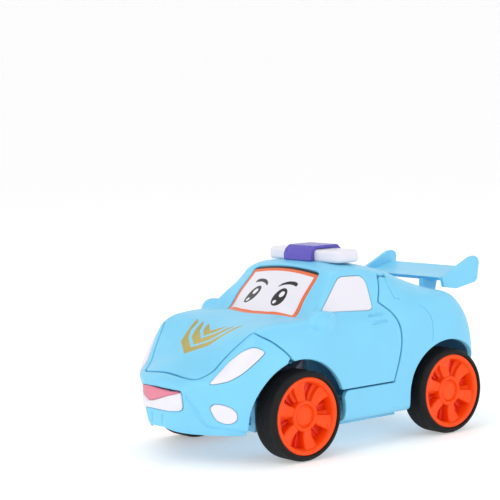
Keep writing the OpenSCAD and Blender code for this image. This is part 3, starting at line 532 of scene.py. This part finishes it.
def along_stations():
    """Monotone cubic through the stations, so that flat stretches stay flat."""
    y = np.array([s[0] for s in STATIONS], float)
    p = np.array([s[1] for s in STATIONS], float)
    span = np.diff(y)[:, None, None]
    chord = np.diff(p, axis=0) / span
    slope = np.empty_like(p)
    slope[0], slope[-1] = chord[0], chord[-1]
    product, total = chord[:-1] * chord[1:], chord[:-1] + chord[1:]
    slope[1:-1] = np.where(product > 0, 2 * product / np.where(total == 0, 1, total), 0)
    rows = []
    for i in range(len(y) - 1):
        for t in np.arange(ROWS) / ROWS:
            rows.append((y[i] + t * (y[i + 1] - y[i]),
                         (2 * t ** 3 - 3 * t ** 2 + 1) * p[i] + (t ** 3 - 2 * t ** 2 + t) * span[i] * slope[i]
                         + (3 * t ** 2 - 2 * t ** 3) * p[i + 1] + (t ** 3 - t ** 2) * span[i] * slope[i + 1]))
    return rows + [(y[-1], p[-1])]


def section(y, half):
    """Smooth curve through one half section and its mirror image."""
    curve = catmull_rom(np.vstack([half[0], half, half[-2] * (-1, 1)]), COLUMNS)
    curve = np.vstack([curve, curve[-2::-1] * (-1, 1)])
    return np.column_stack([curve[:, 0], np.full(len(curve), y), curve[:, 1]])


def body_sheet():
    rings = [section(y, half) for y, half in along_stations()]
    # Both ends close on the middle of their lower edge
    for end, crown, rows in ((0, -0.1, (0.75, 0.5, 0.25, 0.02)), (-1, 0.12, (0.8, 0.6, 0.4, 0.2, 0.02))):
        ring = rings[end]
        foot = np.array([0, ring[0, 1], ring[0, 2]])
        caps = [foot + (ring - foot) * f + (0, crown * (1 - f), 0) for f in rows]
        rings = caps[::-1] + rings if end == 0 else rings + caps
    grid = np.array(rings)
    n, m = grid.shape[:2]
    index = np.arange(n * m).reshape(n, m)
    a, b, c, d = (index[:-1, :-1], index[1:, :-1], index[1:, 1:], index[:-1, 1:])
    triangles = np.vstack([np.stack([a, b, c], 2).reshape(-1, 3), np.stack([a, c, d], 2).reshape(-1, 3)])
    points = grid.reshape(-1, 3)
    normal = np.zeros_like(points)
    first, second, third = (points[triangles[:, k]] for k in range(3))
    facing = np.cross(second - first, third - first)
    for k in range(3):
        np.add.at(normal, triangles[:, k], facing)
    normal /= np.maximum(np.linalg.norm(normal, axis=1), 1e-9)[:, None]
    if (normal * (points - (0, 29, 30))).sum() < 0:
        normal, triangles = -normal, triangles[:, ::-1]
    return Sheet(np.column_stack([points, normal, np.zeros(len(points))]), triangles)


# The flat tip of the nose has long triangles, too coarse for the mouth's outline
NOSE_TIP_Y = -42.5
BODY = body_sheet().refine(lambda p: p[:, 1], NOSE_TIP_Y, 0.9)

# Seams as [y, z] in side view, and the hood's outline as [x, y] in plan
FENDER_SEAM = spline([[-17.5, 52.6], [-15.7, 50.7], [-12.6, 48.6], [-10.2, 46.4], [-7.6, 43.8], [-5.5, 41],
                      [-2, 36]])
REAR_SEAM = np.vstack([[[51, 75]], spline([[50.6, 70.5], [48.6, 64.4], [45.9, 58.4]]),
                       spline([[45.9, 58.4], [50.6, 54.2], [53.2, 49.4], [54, 44.5], [53.5, 39.3],
                               [51.6, 32.5], [48.8, 25.5]])])
HOOD_SEAM = spline([[29.5, -16.6], [26.9, -20.6], [24.3, -24.9], [21.7, -29.2], [19.1, -33.5], [16.6, -36.6],
                    [11, -38.2], [0, -38.3]])
HOOD_LOW_Z = 33.2
DOOR_SILL_Z = 25.5
# Wheel arches as (y, z, radius)
ARCHES = [(-1, 18, 22.5), (79.5, 18, 22)]


def clear_of_arches(p):
    return np.minimum.reduce([np.hypot(p[:, 1] - y, p[:, 2] - z) - r for y, z, r in ARCHES])


hood_plan = plan(np.vstack([[[29.5, -5]], mirrored(HOOD_SEAM), [[-29.5, -5]]]))


def hood_area(p):
    return np.minimum(hood_plan(p), p[:, 2] - HOOD_LOW_Z)


nose_side = side(np.vstack([[[-2, 0], [-60, 0], [-60, 90], [-17.5, 90]], FENDER_SEAM]))
cabin_side = side(np.vstack([[[51, 90], [-17.5, 90]], FENDER_SEAM, [[-2, DOOR_SILL_Z]], REAR_SEAM[::-1]]))
rear_side = side(np.vstack([[[120, 90], [51, 90]], REAR_SEAM, [[-2, DOOR_SILL_Z], [-2, 0], [120, 0]]]))

GLASS_TOP_Y = 25.2
GLASS_LOW_Z = 50
WINDOW_INNER_X = 20
glass_plan = plan(rounded(mirrored([[20.9, GLASS_TOP_Y], [22.6, 9], [17, 6.3], [9, 4.5], [0, 4]]), 1.4))


def windshield_area(p):
    return np.minimum(glass_plan(p), p[:, 2] - GLASS_LOW_Z)


window_side = side(rounded([[14.4, 57.3], [29, 70], [40.6, 69.6], [42.6, 67], [42.4, 55.6]], 2.2))


def window_area(p):
    return np.minimum(window_side(p), np.abs(p[:, 0]) - WINDOW_INNER_X)


headlight_plan = plan(rounded([[23.4, -34.6], [24.2, -30.4], [26.1, -26.9], [29.1, -23], [32.3, -19.4],
                               [35.6, -15.8], [42, -15.8], [42, -34.6]], 0.8))
headlight_side = side(rounded([[-34.6, 32.9], [-33.1, 33.1], [-29.7, 34.2], [-25.8, 36.7], [-20.6, 40.8],
                               [-15.6, 44.9], [-15.6, 60], [-34.6, 60]], 0.8))


def headlight_area(p):
    return np.minimum(headlight_plan(np.abs(p) * (1, 0, 0) + p * (0, 1, 1)), headlight_side(p))


# A fog lamp's outline as [across, up] round its middle, and how its face is turned in plan
FOG_LAMP = rounded([[-5.9, 2.3], [-4.7, 3.9], [-1.3, 4.1], [3.7, 2.5], [5.6, -0.1], [5, -2.8], [1.2, -4.2],
                    [-3.4, -2.7]], 2)
FOG_LAMP_X, FOG_LAMP_Y, FOG_LAMP_Z = 26.4, -30.1, 20.9
FOG_LAMP_TURN = math.radians(37.3)
FOG_LAMP_REACH = 6


def fog_lamp_area(p):
    x, y = np.abs(p[:, 0]) - FOG_LAMP_X, p[:, 1] - FOG_LAMP_Y
    across = x * math.cos(FOG_LAMP_TURN) + y * math.sin(FOG_LAMP_TURN)
    deep = np.abs(x * math.sin(FOG_LAMP_TURN) - y * math.cos(FOG_LAMP_TURN))
    face = outline_distance(np.column_stack([across, p[:, 2] - FOG_LAMP_Z]), FOG_LAMP)
    return np.minimum(face, FOG_LAMP_REACH - deep)


MOUTH_BACK_Y = -34
mouth_front = front(rounded(mirrored([[0, 21.8], [11, 21.8], [12.7, 22.4], [12.9, 29.8], [8, 30.4],
                                      [0, 30.5]]), 0.9))


def mouth_area(p):
    return np.minimum(mouth_front(p), MOUTH_BACK_Y - p[:, 1])


# The shell's hinge, and the radius and half width that the roof lamp and its cap need round it
HINGE_Y, HINGE_Z = 44, 70
BAR_SWEEP_R, BAR_SWEEP_X = 10.7, 28
CAP_SWEEP_R, CAP_SWEEP_X = 13.4, 10.1
SWEEP_FRONT_Y = 48


def lamp_sweep(p):
    """Space behind the hinge that the roof lamp and its cap pass through as the shell opens."""
    reach, x = np.hypot(p[:, 1] - HINGE_Y, p[:, 2] - HINGE_Z), np.abs(p[:, 0])
    bar = np.minimum(BAR_SWEEP_R - reach, BAR_SWEEP_X - x)
    cap = np.minimum(CAP_SWEEP_R - reach, CAP_SWEEP_X - x)
    return np.minimum(np.maximum(bar, cap), p[:, 1] - SWEEP_FRONT_Y)


GLASS_GAP = 0.15
LAMP_GAP = 0.12
nose_area = both(grown(nose_side, -SEAM), without(hood_area, gap=SEAM), clear_of_arches,
                 without(headlight_area, fog_lamp_area, mouth_area, gap=LAMP_GAP))
cabin_area = both(grown(either(cabin_side, hood_area, grown(lamp_sweep, SEAM)), -SEAM), clear_of_arches,
                  without(windshield_area, window_area, gap=GLASS_GAP))
rear_area = both(grown(rear_side, -SEAM), without(lamp_sweep, gap=2 * SEAM), clear_of_arches)


# ---------------------------------------------------------------- skins and lamps

# Plastic, prints and painted shade of each kind of skin, and the place of each in its list
BLUE_SKIN = [MATERIALS["body_blue"], GOLD]
WHITE_SKIN = [MATERIALS["lamp_white"], PRINT_AND_SHADE_BLACK, PRINT_ORANGE, PRINT_WHITE]
PINK_SKIN = [MATERIALS["tongue_pink"]]
GOLD_PRINT = 1
BLACK_PRINT_AND_SHADE, ORANGE_PRINT, WHITE_PRINT = 1, 2, 3


def panel(name, area, nodes, materials, offset=0.0, radius=0.45, features=None, thickness=WALL):
    """One moulding of the body's surface, with its outline, surface details and rolled edges."""
    skin = BODY.copy().trim(area)
    if features:
        features(skin)
    skin.round_edge(area, radius)
    return stand_for(skin.solid(name, materials, thickness, offset), *nodes)


def on_side(measure, sign):
    return both(measure, lambda p: sign * p[:, 0])


# Moulded lines on the car's left half of the nose, as [x, z] from the front
DAM_LINE = [[14.6, 27.4], [15.8, 24.6], [17, 22.4], [18.3, 18.8], [19.4, 16.4], [21.2, 15.4], [25.7, 14.9],
            [32.1, 13.4]]
NOTCH_LINE = [[3.4, 16.6], [3.4, 19.6]]
OUT_OF_REACH = 20


def nose_line(line, back_y):
    """Distance from a line in front view, for the skin ahead of a place along the car."""
    return lambda p: line_distance(p[:, ::2], line) + OUT_OF_REACH * (p[:, 1] > back_y)


def nose_features(skin):
    """Moulded lines of the air dam under the fog lamps, and the notch below the mouth."""
    for sign in (-1, 1):
        dam = nose_line(spline(np.array(DAM_LINE) * (sign, 1)), -10)
        skin.refine(dam, 1.5, 0.5)
        skin.groove(dam, width=1.5, depth=0.45)
        notch = nose_line(np.array(NOTCH_LINE) * (sign, 1), -30)
        skin.refine(notch, 1.5, 0.4)
        skin.groove(notch, width=1.1, depth=0.4)


# Nested chevrons on the hood, as [x, y] in plan
EMBLEM = [
    [[0, -29.2], [9.4, -23.8], [15.8, -10], [12.4, -12.6], [10.4, -17.8], [7.2, -21.6], [0, -25.7]],
    [[0, -24.3], [6.3, -20.5], [9, -16], [11.2, -10.6], [8, -13.4], [5.6, -16.9], [0, -20.7]],
    [[0, -19.2], [4.2, -16.2], [6.6, -11.4], [4, -13.2], [0, -15.9]],
]
DOOR_VENTS = [[[37.5, 52.9], [46, 53], [46.4, 54.3], [38.8, 54.2]],
              [[38.3, 49.8], [47.2, 50.2], [47.3, 51.7], [39.5, 51.3]]]
MIRROR_AT, MIRROR_REACH = (35, 13.6, 53.8), (4.6, 7.2, 4)


def cabin_features(skin):
    """Mirror nubs, recessed door vents and the hood print."""
    skin.bulge(MIRROR_AT, MIRROR_REACH, height=4, power=0.8)
    for vent in DOOR_VENTS:
        skin.raise_area(side(rounded(vent, 0.7)), -0.55, 0.4)
    hood = both(hood_area, lambda p: -8 - p[:, 1], lambda p: 18 - np.abs(p[:, 0]))
    skin.refine(lambda p: -hood(p), 0, 0.7)
    for shape in EMBLEM:
        skin.mark(plan(mirrored(shape)), GOLD_PRINT)


REAR_FENDER_LINE = spline([[65.2, 55.6], [68.4, 53.4], [70.2, 49], [70.3, 44.5], [69.9, 40.3]])
QUARTER_LINE = [[53.3, 67.6], [53.7, 63], [54.3, 59.1], [56.5, 58.8]]


def rear_features(skin):
    """Thin moulded lines on the rear fender and on the roof pillar."""
    for line in (REAR_FENDER_LINE, QUARTER_LINE):
        skin.refine(side_line(line), 1, 0.4)
        skin.groove(side_line(line), width=0.6, depth=0.3)


BROW = [[3.2, 16.6], [6, 17.9], [8.9, 18.6], [11.6, 18.7], [13.6, 18.4], [13.3, 19.8], [11, 20.1],
        [7.6, 19.7], [4.6, 18.4]]
EYE_X = 8.7
GLASS_SLOPE = 0.77
BORDER = 2
# Width of the black band of painted shade along the windshield's top, under the roof's front edge
ROOF_SHADE_BAND = 1


def oval(x, y, half_w, half_h, lean=0.0):
    """Oval on the windshield, whose slope makes its outline shorter in plan."""
    def measure(p):
        u, v = p[:, 0] - x, (p[:, 1] - y) / GLASS_SLOPE
        u, v = u * math.cos(lean) - v * math.sin(lean), u * math.sin(lean) + v * math.cos(lean)
        return (1 - np.hypot(u / half_w, v / half_h)) * half_w
    return measure


def windshield_features(skin):
    """Printed border, a black band of painted shade along the top under the roof's front edge, and a plain
    pair of cartoon eyes.
    """
    skin.refine(lambda p: -glass_plan(p), 1, 0.6)
    skin.mark(lambda p: np.minimum(BORDER - glass_plan(p), GLASS_TOP_Y - ROOF_SHADE_BAND - p[:, 1]), ORANGE_PRINT)
    # Black band of painted shade along the top edge, where the roof's front edge shades the windshield
    skin.mark(lambda p: p[:, 1] - GLASS_TOP_Y + ROOF_SHADE_BAND, BLACK_PRINT_AND_SHADE)
    for sign in (-1, 1):
        skin.mark(oval(sign * EYE_X, 13.1, 3.4, 4.9, sign * -0.1), BLACK_PRINT_AND_SHADE)
        skin.mark(oval(sign * EYE_X + 0.3, 14.4, 1.3, 1.6), WHITE_PRINT)
        skin.mark(oval(sign * EYE_X - 0.6, 10.9, 0.9, 1), WHITE_PRINT)
        skin.mark(plan(rounded([[sign * x, y] for x, y in BROW], 0.8)), BLACK_PRINT_AND_SHADE)


# Upper edge of the lips and upper edge of the tongue, as [x, z] from the front
LIP_EDGE = spline([[-17, 29], [-9, 26.9], [-6.6, 25.6], [-4.4, 24.8], [-1, 25.3], [2.8, 26.4], [9, 28.2],
                   [13, 29.3], [17, 30.4]])
TONGUE_EDGE = spline([[-17, 31.5], [-9, 31], [-3.3, 30.4], [2, 30.1], [6.8, 29.8], [12.2, 29.5], [17, 30.4]])
lip_front = front(np.vstack([[[-17, 10]], LIP_EDGE, [[17, 10]]]))
tongue_front = front(np.vstack([LIP_EDGE, TONGUE_EDGE[::-1]]))
lip_area = both(mouth_area, lip_front)
tongue_area = both(mouth_area, tongue_front)


def tongue_features(skin):
    skin.bulge((0, -43, 28.4), (12, 6, 3.4), height=0.6, power=1)


panel("nose_skin", nose_area, ["nose_shell"], BLUE_SKIN, features=nose_features)
panel("cabin_skin", cabin_area, ["cabin_shell"], BLUE_SKIN, features=cabin_features)
panel("rear_skin", rear_area, ["rear_body"], BLUE_SKIN, features=rear_features)
panel("windshield_panel", windshield_area, ["windshield"], WHITE_SKIN, -0.5, 0.3, windshield_features)
panel("lips_moulding", lip_area, ["mouth_lips"], WHITE_SKIN, 0.85, 0.8, thickness=2.4)
panel("tongue_moulding", tongue_area, ["tongue"], PINK_SKIN, 0.3, 0.5, tongue_features, thickness=2)
for sign, word in ((1, "left"), (-1, "right")):
    panel(word + "_window_panel", on_side(window_area, sign), [word + "_window"], WHITE_SKIN, -0.25, 0.35)
    panel(word + "_headlight_lens", on_side(headlight_area, sign), [word + "_headlight"], WHITE_SKIN,
          0.3, 0.5)
    panel(word + "_fog_lens", on_side(fog_lamp_area, sign), [word + "_fog_lamp"], WHITE_SKIN, 0.3, 0.7)


# ---------------------------------------------------------------- wheels

RIM_R, TYRE_R, HUB_R = 15.6, AXLE_Z, 6.3


class Build:
    """Points and faces gathered from several closed forms."""

    def __init__(self):
        self.points, self.faces, self.marks = [], [], []

    def add(self, points, faces, mark=0):
        first = len(self.points)
        self.points += [tuple(p) for p in points]
        self.faces += [[i + first for i in f] for f in faces]
        self.marks += [mark] * len(faces)

    def lathe(self, profile, steps=96, mark=0):
        """Turns a closed profile of [radius, out] about the axis."""
        n = len(profile)
        points = [(r * math.cos(a), r * math.sin(a), h)
                  for a in np.arange(steps) * math.tau / steps for r, h in profile]
        faces = [(i * n + j, i * n + (j + 1) % n, (i + 1) % steps * n + (j + 1) % n, (i + 1) % steps * n + j)
                 for i in range(steps) for j in range(n)]
        self.add(points, faces, mark)

    def loft(self, sections, mark=0):
        """Joins rings of the same length and closes both ends."""
        n = len(sections[0])
        points = [p for ring in sections for p in ring]
        last = (len(sections) - 1) * n
        faces = [(i * n + j, i * n + (j + 1) % n, (i + 1) * n + (j + 1) % n, (i + 1) * n + j)
                 for i in range(len(sections) - 1) for j in range(n)]
        self.add(points, faces + [tuple(range(n))[::-1], tuple(last + j for j in range(n))], mark)

    def outward(self):
        """Turns every face outwards."""
        mesh = bmesh.new()
        verts = [mesh.verts.new(p) for p in self.points]
        made = [mesh.faces.new([verts[i] for i in f]) for f in self.faces]
        for face, mark in zip(made, self.marks):
            face.material_index = mark
        mesh.verts.index_update()
        bmesh.ops.recalc_face_normals(mesh, faces=mesh.faces)
        self.faces = [[v.index for v in f.verts] for f in mesh.faces]
        mesh.free()
        return self


def on_wheel(points, y, sign):
    """From the wheel's own frame, whose third axis points out of the car, to the car's frame."""
    a, b, h = np.asarray(points, float).T
    return np.column_stack([sign * (WHEEL_FACE_X - TYRE_W + h), y + a, AXLE_Z + b])


def round_bar(half_w, low, high, slope):
    """Cross-section of a spoke across its width, tilted like a fan blade, as [across, out]."""
    return [(-half_w, low), (-half_w, high - 0.4), (-half_w + 0.5, high), (-half_w * 0.1, high - 0.1 * slope),
            (half_w * 0.5, high - 0.55 * slope), (half_w * 0.62, high - slope - 0.9),
            (half_w - 0.4, high - slope - 1.2), (half_w, high - slope - 1.6), (half_w, low)]


def spoke_rings(turn, rings):
    """Cross-sections [across, out] at each radius along a direction in the wheel's plane."""
    along, beside = (math.cos(turn), math.sin(turn)), (-math.sin(turn), math.cos(turn))
    return [[(along[0] * r + beside[0] * w, along[1] * r + beside[1] * w, h) for w, h in ring]
            for r, ring in rings]


# Radius, half width, height and slope of a spoke, from the hub to the rim
SPOKE = [(4.9, 1.9, 10.3, 0.5), (6.6, 2.5, 10.5, 0.7), (8.2, 2.8, 10.2, 1), (10.4, 3.2, 10.2, 1.3),
         (12, 3.7, 10.7, 1.3), (13.4, 4.3, 11.2, 1.1)]
RIB = [(-0.35, 6.4), (-0.22, 7.6), (0.22, 7.6), (0.35, 6.4)]
SPOKES, RIBS = 6, 24
RED = 1


def rim_build():
    rim = Build()
    rim.lathe([(14.6, 0.3), (14.6, 10.1), (RIM_R, 10.15), (RIM_R, 11.6), (15.3, 12), (14.6, 12.1),
               (13.9, 11.9), (13.45, 11.4), (13.25, 10.4), (13.1, 8), (13, 6.6), (12.9, 0.3)])
    rim.lathe([(1.6, 0.2), (6.2, 0.2), (HUB_R, 1), (HUB_R, 10), (6.15, 10.5), (5.75, 10.8), (5.1, 10.8),
               (4.7, 10.5), (4.55, 9.9), (4.4, 9.7), (4.2, 9.85), (3.6, 10.15), (2, 10.35), (0.01, 10.4),
               (0.01, 0.2)])
    rim.lathe([(6, 5.4), (13.1, 5.4), (13.1, 6.6), (6, 6.6)], mark=RED)
    for i in range(RIBS):
        rim.loft(spoke_rings(math.tau * i / RIBS, [(6, RIB), (13.1, RIB)]), mark=RED)
    for i in range(SPOKES):
        rings = [(r, round_bar(half_w, 5.6, high, slope)) for r, half_w, high, slope in SPOKE]
        rim.loft(spoke_rings(math.radians(45) + math.tau * i / SPOKES, rings))
    return rim.outward()


def tyre_build():
    tread = []
    for i in range(8):
        h = 2.75 + i
        tread += [(TYRE_R, h - 0.2), (TYRE_R - 0.22, h - 0.08), (TYRE_R - 0.22, h + 0.12), (TYRE_R, h + 0.24)]
    tyre = Build()
    tyre.lathe([(14.62, 0.4), (15.6, 0.1), (16.4, 0), (17.1, 0.35), (17.6, 0.95), (17.9, 1.7)] + tread
               + [(TYRE_R, 10.4), (17.85, 11), (17.5, 11.7), (17, 12.2), (16.5, 12.45), (16.1, TYRE_W),
                  (15.8, 12.4), (15.62, 12.1), (15.62, 10.1), (14.62, 10.1)], steps=128)
    return tyre.outward()


def make_wheels():
    rim, tyre = rim_build(), tyre_build()
    for end, y in (("front", 0), ("rear", WHEELBASE)):
        for word, sign in (("left", 1), ("right", -1)):
            for kind, build, materials in (("rim", rim, [MATERIALS["rim_orange"], RIM_RED]),
                                           ("tyre", tyre, [MATERIALS["tyre_black"]])):
                faces = [f[::sign] for f in build.faces]
                piece = mesh_piece(f"{end}_{word}_{kind}_detail", on_wheel(build.points, y, sign), faces,
                                   materials, build.marks, sharp=32)
                stand_for(piece, f"{end}_{word}_{kind}")


make_wheels()


# ---------------------------------------------------------------- roof lamp

def soften(piece, width, segments, angle=30):
    """Rolls over the moulding's edges and keeps its flat faces flat."""
    bevel = piece.modifiers.new("edges", "BEVEL")
    bevel.width = width * MM
    bevel.segments = segments
    bevel.limit_method = "ANGLE"
    bevel.angle_limit = math.radians(angle)
    bevel.use_clamp_overlap = True
    bevel.harden_normals = False
    weight = piece.modifiers.new("flats", "WEIGHTED_NORMAL")
    weight.keep_sharp = False
    return piece


def extruded(name, outline, along, low, high, materials, sharp=30):
    """Straight solid: the outline lies across the axis that it runs along."""
    build = Build()
    others = [k for k in range(3) if k != along]
    rings = []
    for place in (low, high):
        ring = np.zeros((len(outline), 3))
        ring[:, others] = outline
        ring[:, along] = place
        rings.append(ring)
    build.loft(rings)
    build.outward()
    return mesh_piece(name, build.points, build.faces, materials, sharp=sharp)


BAR_HALF_W, BAR_LOW, BAR_HIGH = 23, 74.4, 79.6
BAR_FRONT_Y, BAR_BACK_Y = 33.1, 46.5
CAP_HALF_W = 8.8
# The cap's outline in side view, as [y, z]: over the bar's outside and back along its inside
SADDLE = [[30.6, 74.9], [30.6, 77.6], [31.6, 79.6], [33.8, 81.2], [46, 81.2], [47.8, 79.6], [48.4, 77.6],
          [48.4, 74.9], [46.95, 74.9], [46.9, 77.8], [46.4, 79], [45.4, 79.7], [34.2, 79.7], [33.2, 79],
          [32.7, 77.8], [32.65, 74.9]]


def make_roof_lamp():
    outline = rounded([[-BAR_HALF_W, BAR_FRONT_Y], [BAR_HALF_W, BAR_FRONT_Y], [BAR_HALF_W, BAR_BACK_Y],
                       [-BAR_HALF_W, BAR_BACK_Y]], 4.5, 8)
    bar = extruded("light_bar_lens", outline, 2, BAR_LOW, BAR_HIGH, [MATERIALS["lamp_white"]], sharp=40)
    stand_for(soften(bar, 1.5, 5, 50), "light_bar")
    cap = extruded("light_bar_saddle", SADDLE, 0, -CAP_HALF_W, CAP_HALF_W, [MATERIALS["cap_purple"]])
    stand_for(soften(cap, 0.55, 3, 35), "light_bar_cap")


make_roof_lamp()


# ---------------------------------------------------------------- moulded parts that keep their CAD shape

CAD_EDGE = 0.25


def softened(node):
    """The CAD solid again with its moulded edges rolled over."""
    mesh = frame["nodes"][node].data.copy()
    mesh.name = node + "_moulding"
    work = bmesh.new()
    work.from_mesh(mesh)
    bmesh.ops.remove_doubles(work, verts=work.verts, dist=1e-6)
    bmesh.ops.dissolve_limit(work, angle_limit=math.radians(1.5), verts=work.verts, edges=work.edges)
    work.to_mesh(mesh)
    work.free()
    mesh.shade_smooth()
    piece = bpy.data.objects.new(mesh.name, mesh)
    bpy.context.scene.collection.objects.link(piece)
    return stand_for(soften(piece, CAD_EDGE, 2), node)


for node in ("chassis_base", "chassis_deck", "trigger_block", "nose_frame", "lift_arm", "shell_frame",
             "robot_torso", "robot_head", "robot_left_arm", "robot_right_arm", "motor_frame", "spoiler"):
    softened(node)


# ---------------------------------------------------------------- stage, lights and camera

def set_stage():
    """Pale card that lies flat under the car and curves up into a wall all round it."""
    profile = [(0.01, 0), (0.6, 0), (1.3, 0), (1.8, 0.03), (2.3, 0.16), (2.8, 0.45), (3.2, 0.95), (3.4, 1.7),
               (3.45, 2.6)]
    steps = 72
    points = [(r * math.cos(a), r * math.sin(a), z)
              for a in np.arange(steps) * math.tau / steps for r, z in profile]
    n = len(profile)
    faces = [(i * n + j, (i + 1) % steps * n + j, (i + 1) % steps * n + j + 1, i * n + j + 1)
             for i in range(steps) for j in range(n - 1)]
    mesh = bpy.data.meshes.new("floor")
    mesh.from_pydata(points, [], faces)
    card = plastic("floor_card", (0.8, 0.8, 0.8), roughness=0.85, mottle=0.006)
    shader = card.node_tree.nodes["Principled BSDF"]
    shader.inputs["Emission Color"].default_value = (1, 1, 1, 1)
    shader.inputs["Emission Strength"].default_value = 0.36
    mesh.materials.append(card)
    mesh.shade_smooth()
    floor = bpy.data.objects.new("floor", mesh)
    bpy.context.scene.collection.objects.link(floor)
    world = bpy.data.worlds.new("studio")
    world.use_nodes = True
    background = world.node_tree.nodes["Background"]
    background.inputs["Color"].default_value = (1, 1, 1, 1)
    background.inputs["Strength"].default_value = 0.55
    bpy.context.scene.world = world


def area_light(name, place, size, power, target=(0, 0, 0.03)):
    light = bpy.data.lights.new(name, "AREA")
    light.size = size
    light.energy = power
    item = bpy.data.objects.new(name, light)
    item.location = place
    item.rotation_euler = (Vector(target) - Vector(place)).to_track_quat("-Z", "Y").to_euler()
    bpy.context.scene.collection.objects.link(item)


def set_camera():
    """Long lens at the height of the car's roof, from the front and the car's left."""
    azimuth, elevation, roll = math.radians(51.627), math.radians(4.781), math.radians(-1.514)
    distance, aside, height = 680.1, 4.51, 81.1
    back = Vector((math.sin(azimuth) * math.cos(elevation), -math.cos(azimuth) * math.cos(elevation),
                   math.sin(elevation)))
    right = Vector((math.cos(azimuth), math.sin(azimuth), 0))
    up = back.cross(right)
    place = right * aside + up * height + back * distance
    rolled_right = right * math.cos(roll) + up * math.sin(roll)
    rolled_up = up * math.cos(roll) - right * math.sin(roll)
    lens = bpy.data.cameras.new("camera")
    lens.lens = 118.8
    lens.clip_end = 50
    camera = bpy.data.objects.new("camera", lens)
    turn = Matrix((rolled_right, rolled_up, back)).transposed()
    camera.matrix_world = Matrix.Translation(Vector(to_frame(place))) @ turn.to_4x4()
    bpy.context.scene.collection.objects.link(camera)
    bpy.context.scene.camera = camera


set_stage()
area_light("key", (0.15, -0.75, 0.85), 0.7, 2.6)
area_light("fill", (0.95, 0.15, 0.4), 0.8, 1.2)
area_light("top", (-0.15, 0.15, 1.1), 0.8, 2.2)
set_camera()
bpy.context.scene.view_settings.view_transform = "Standard"
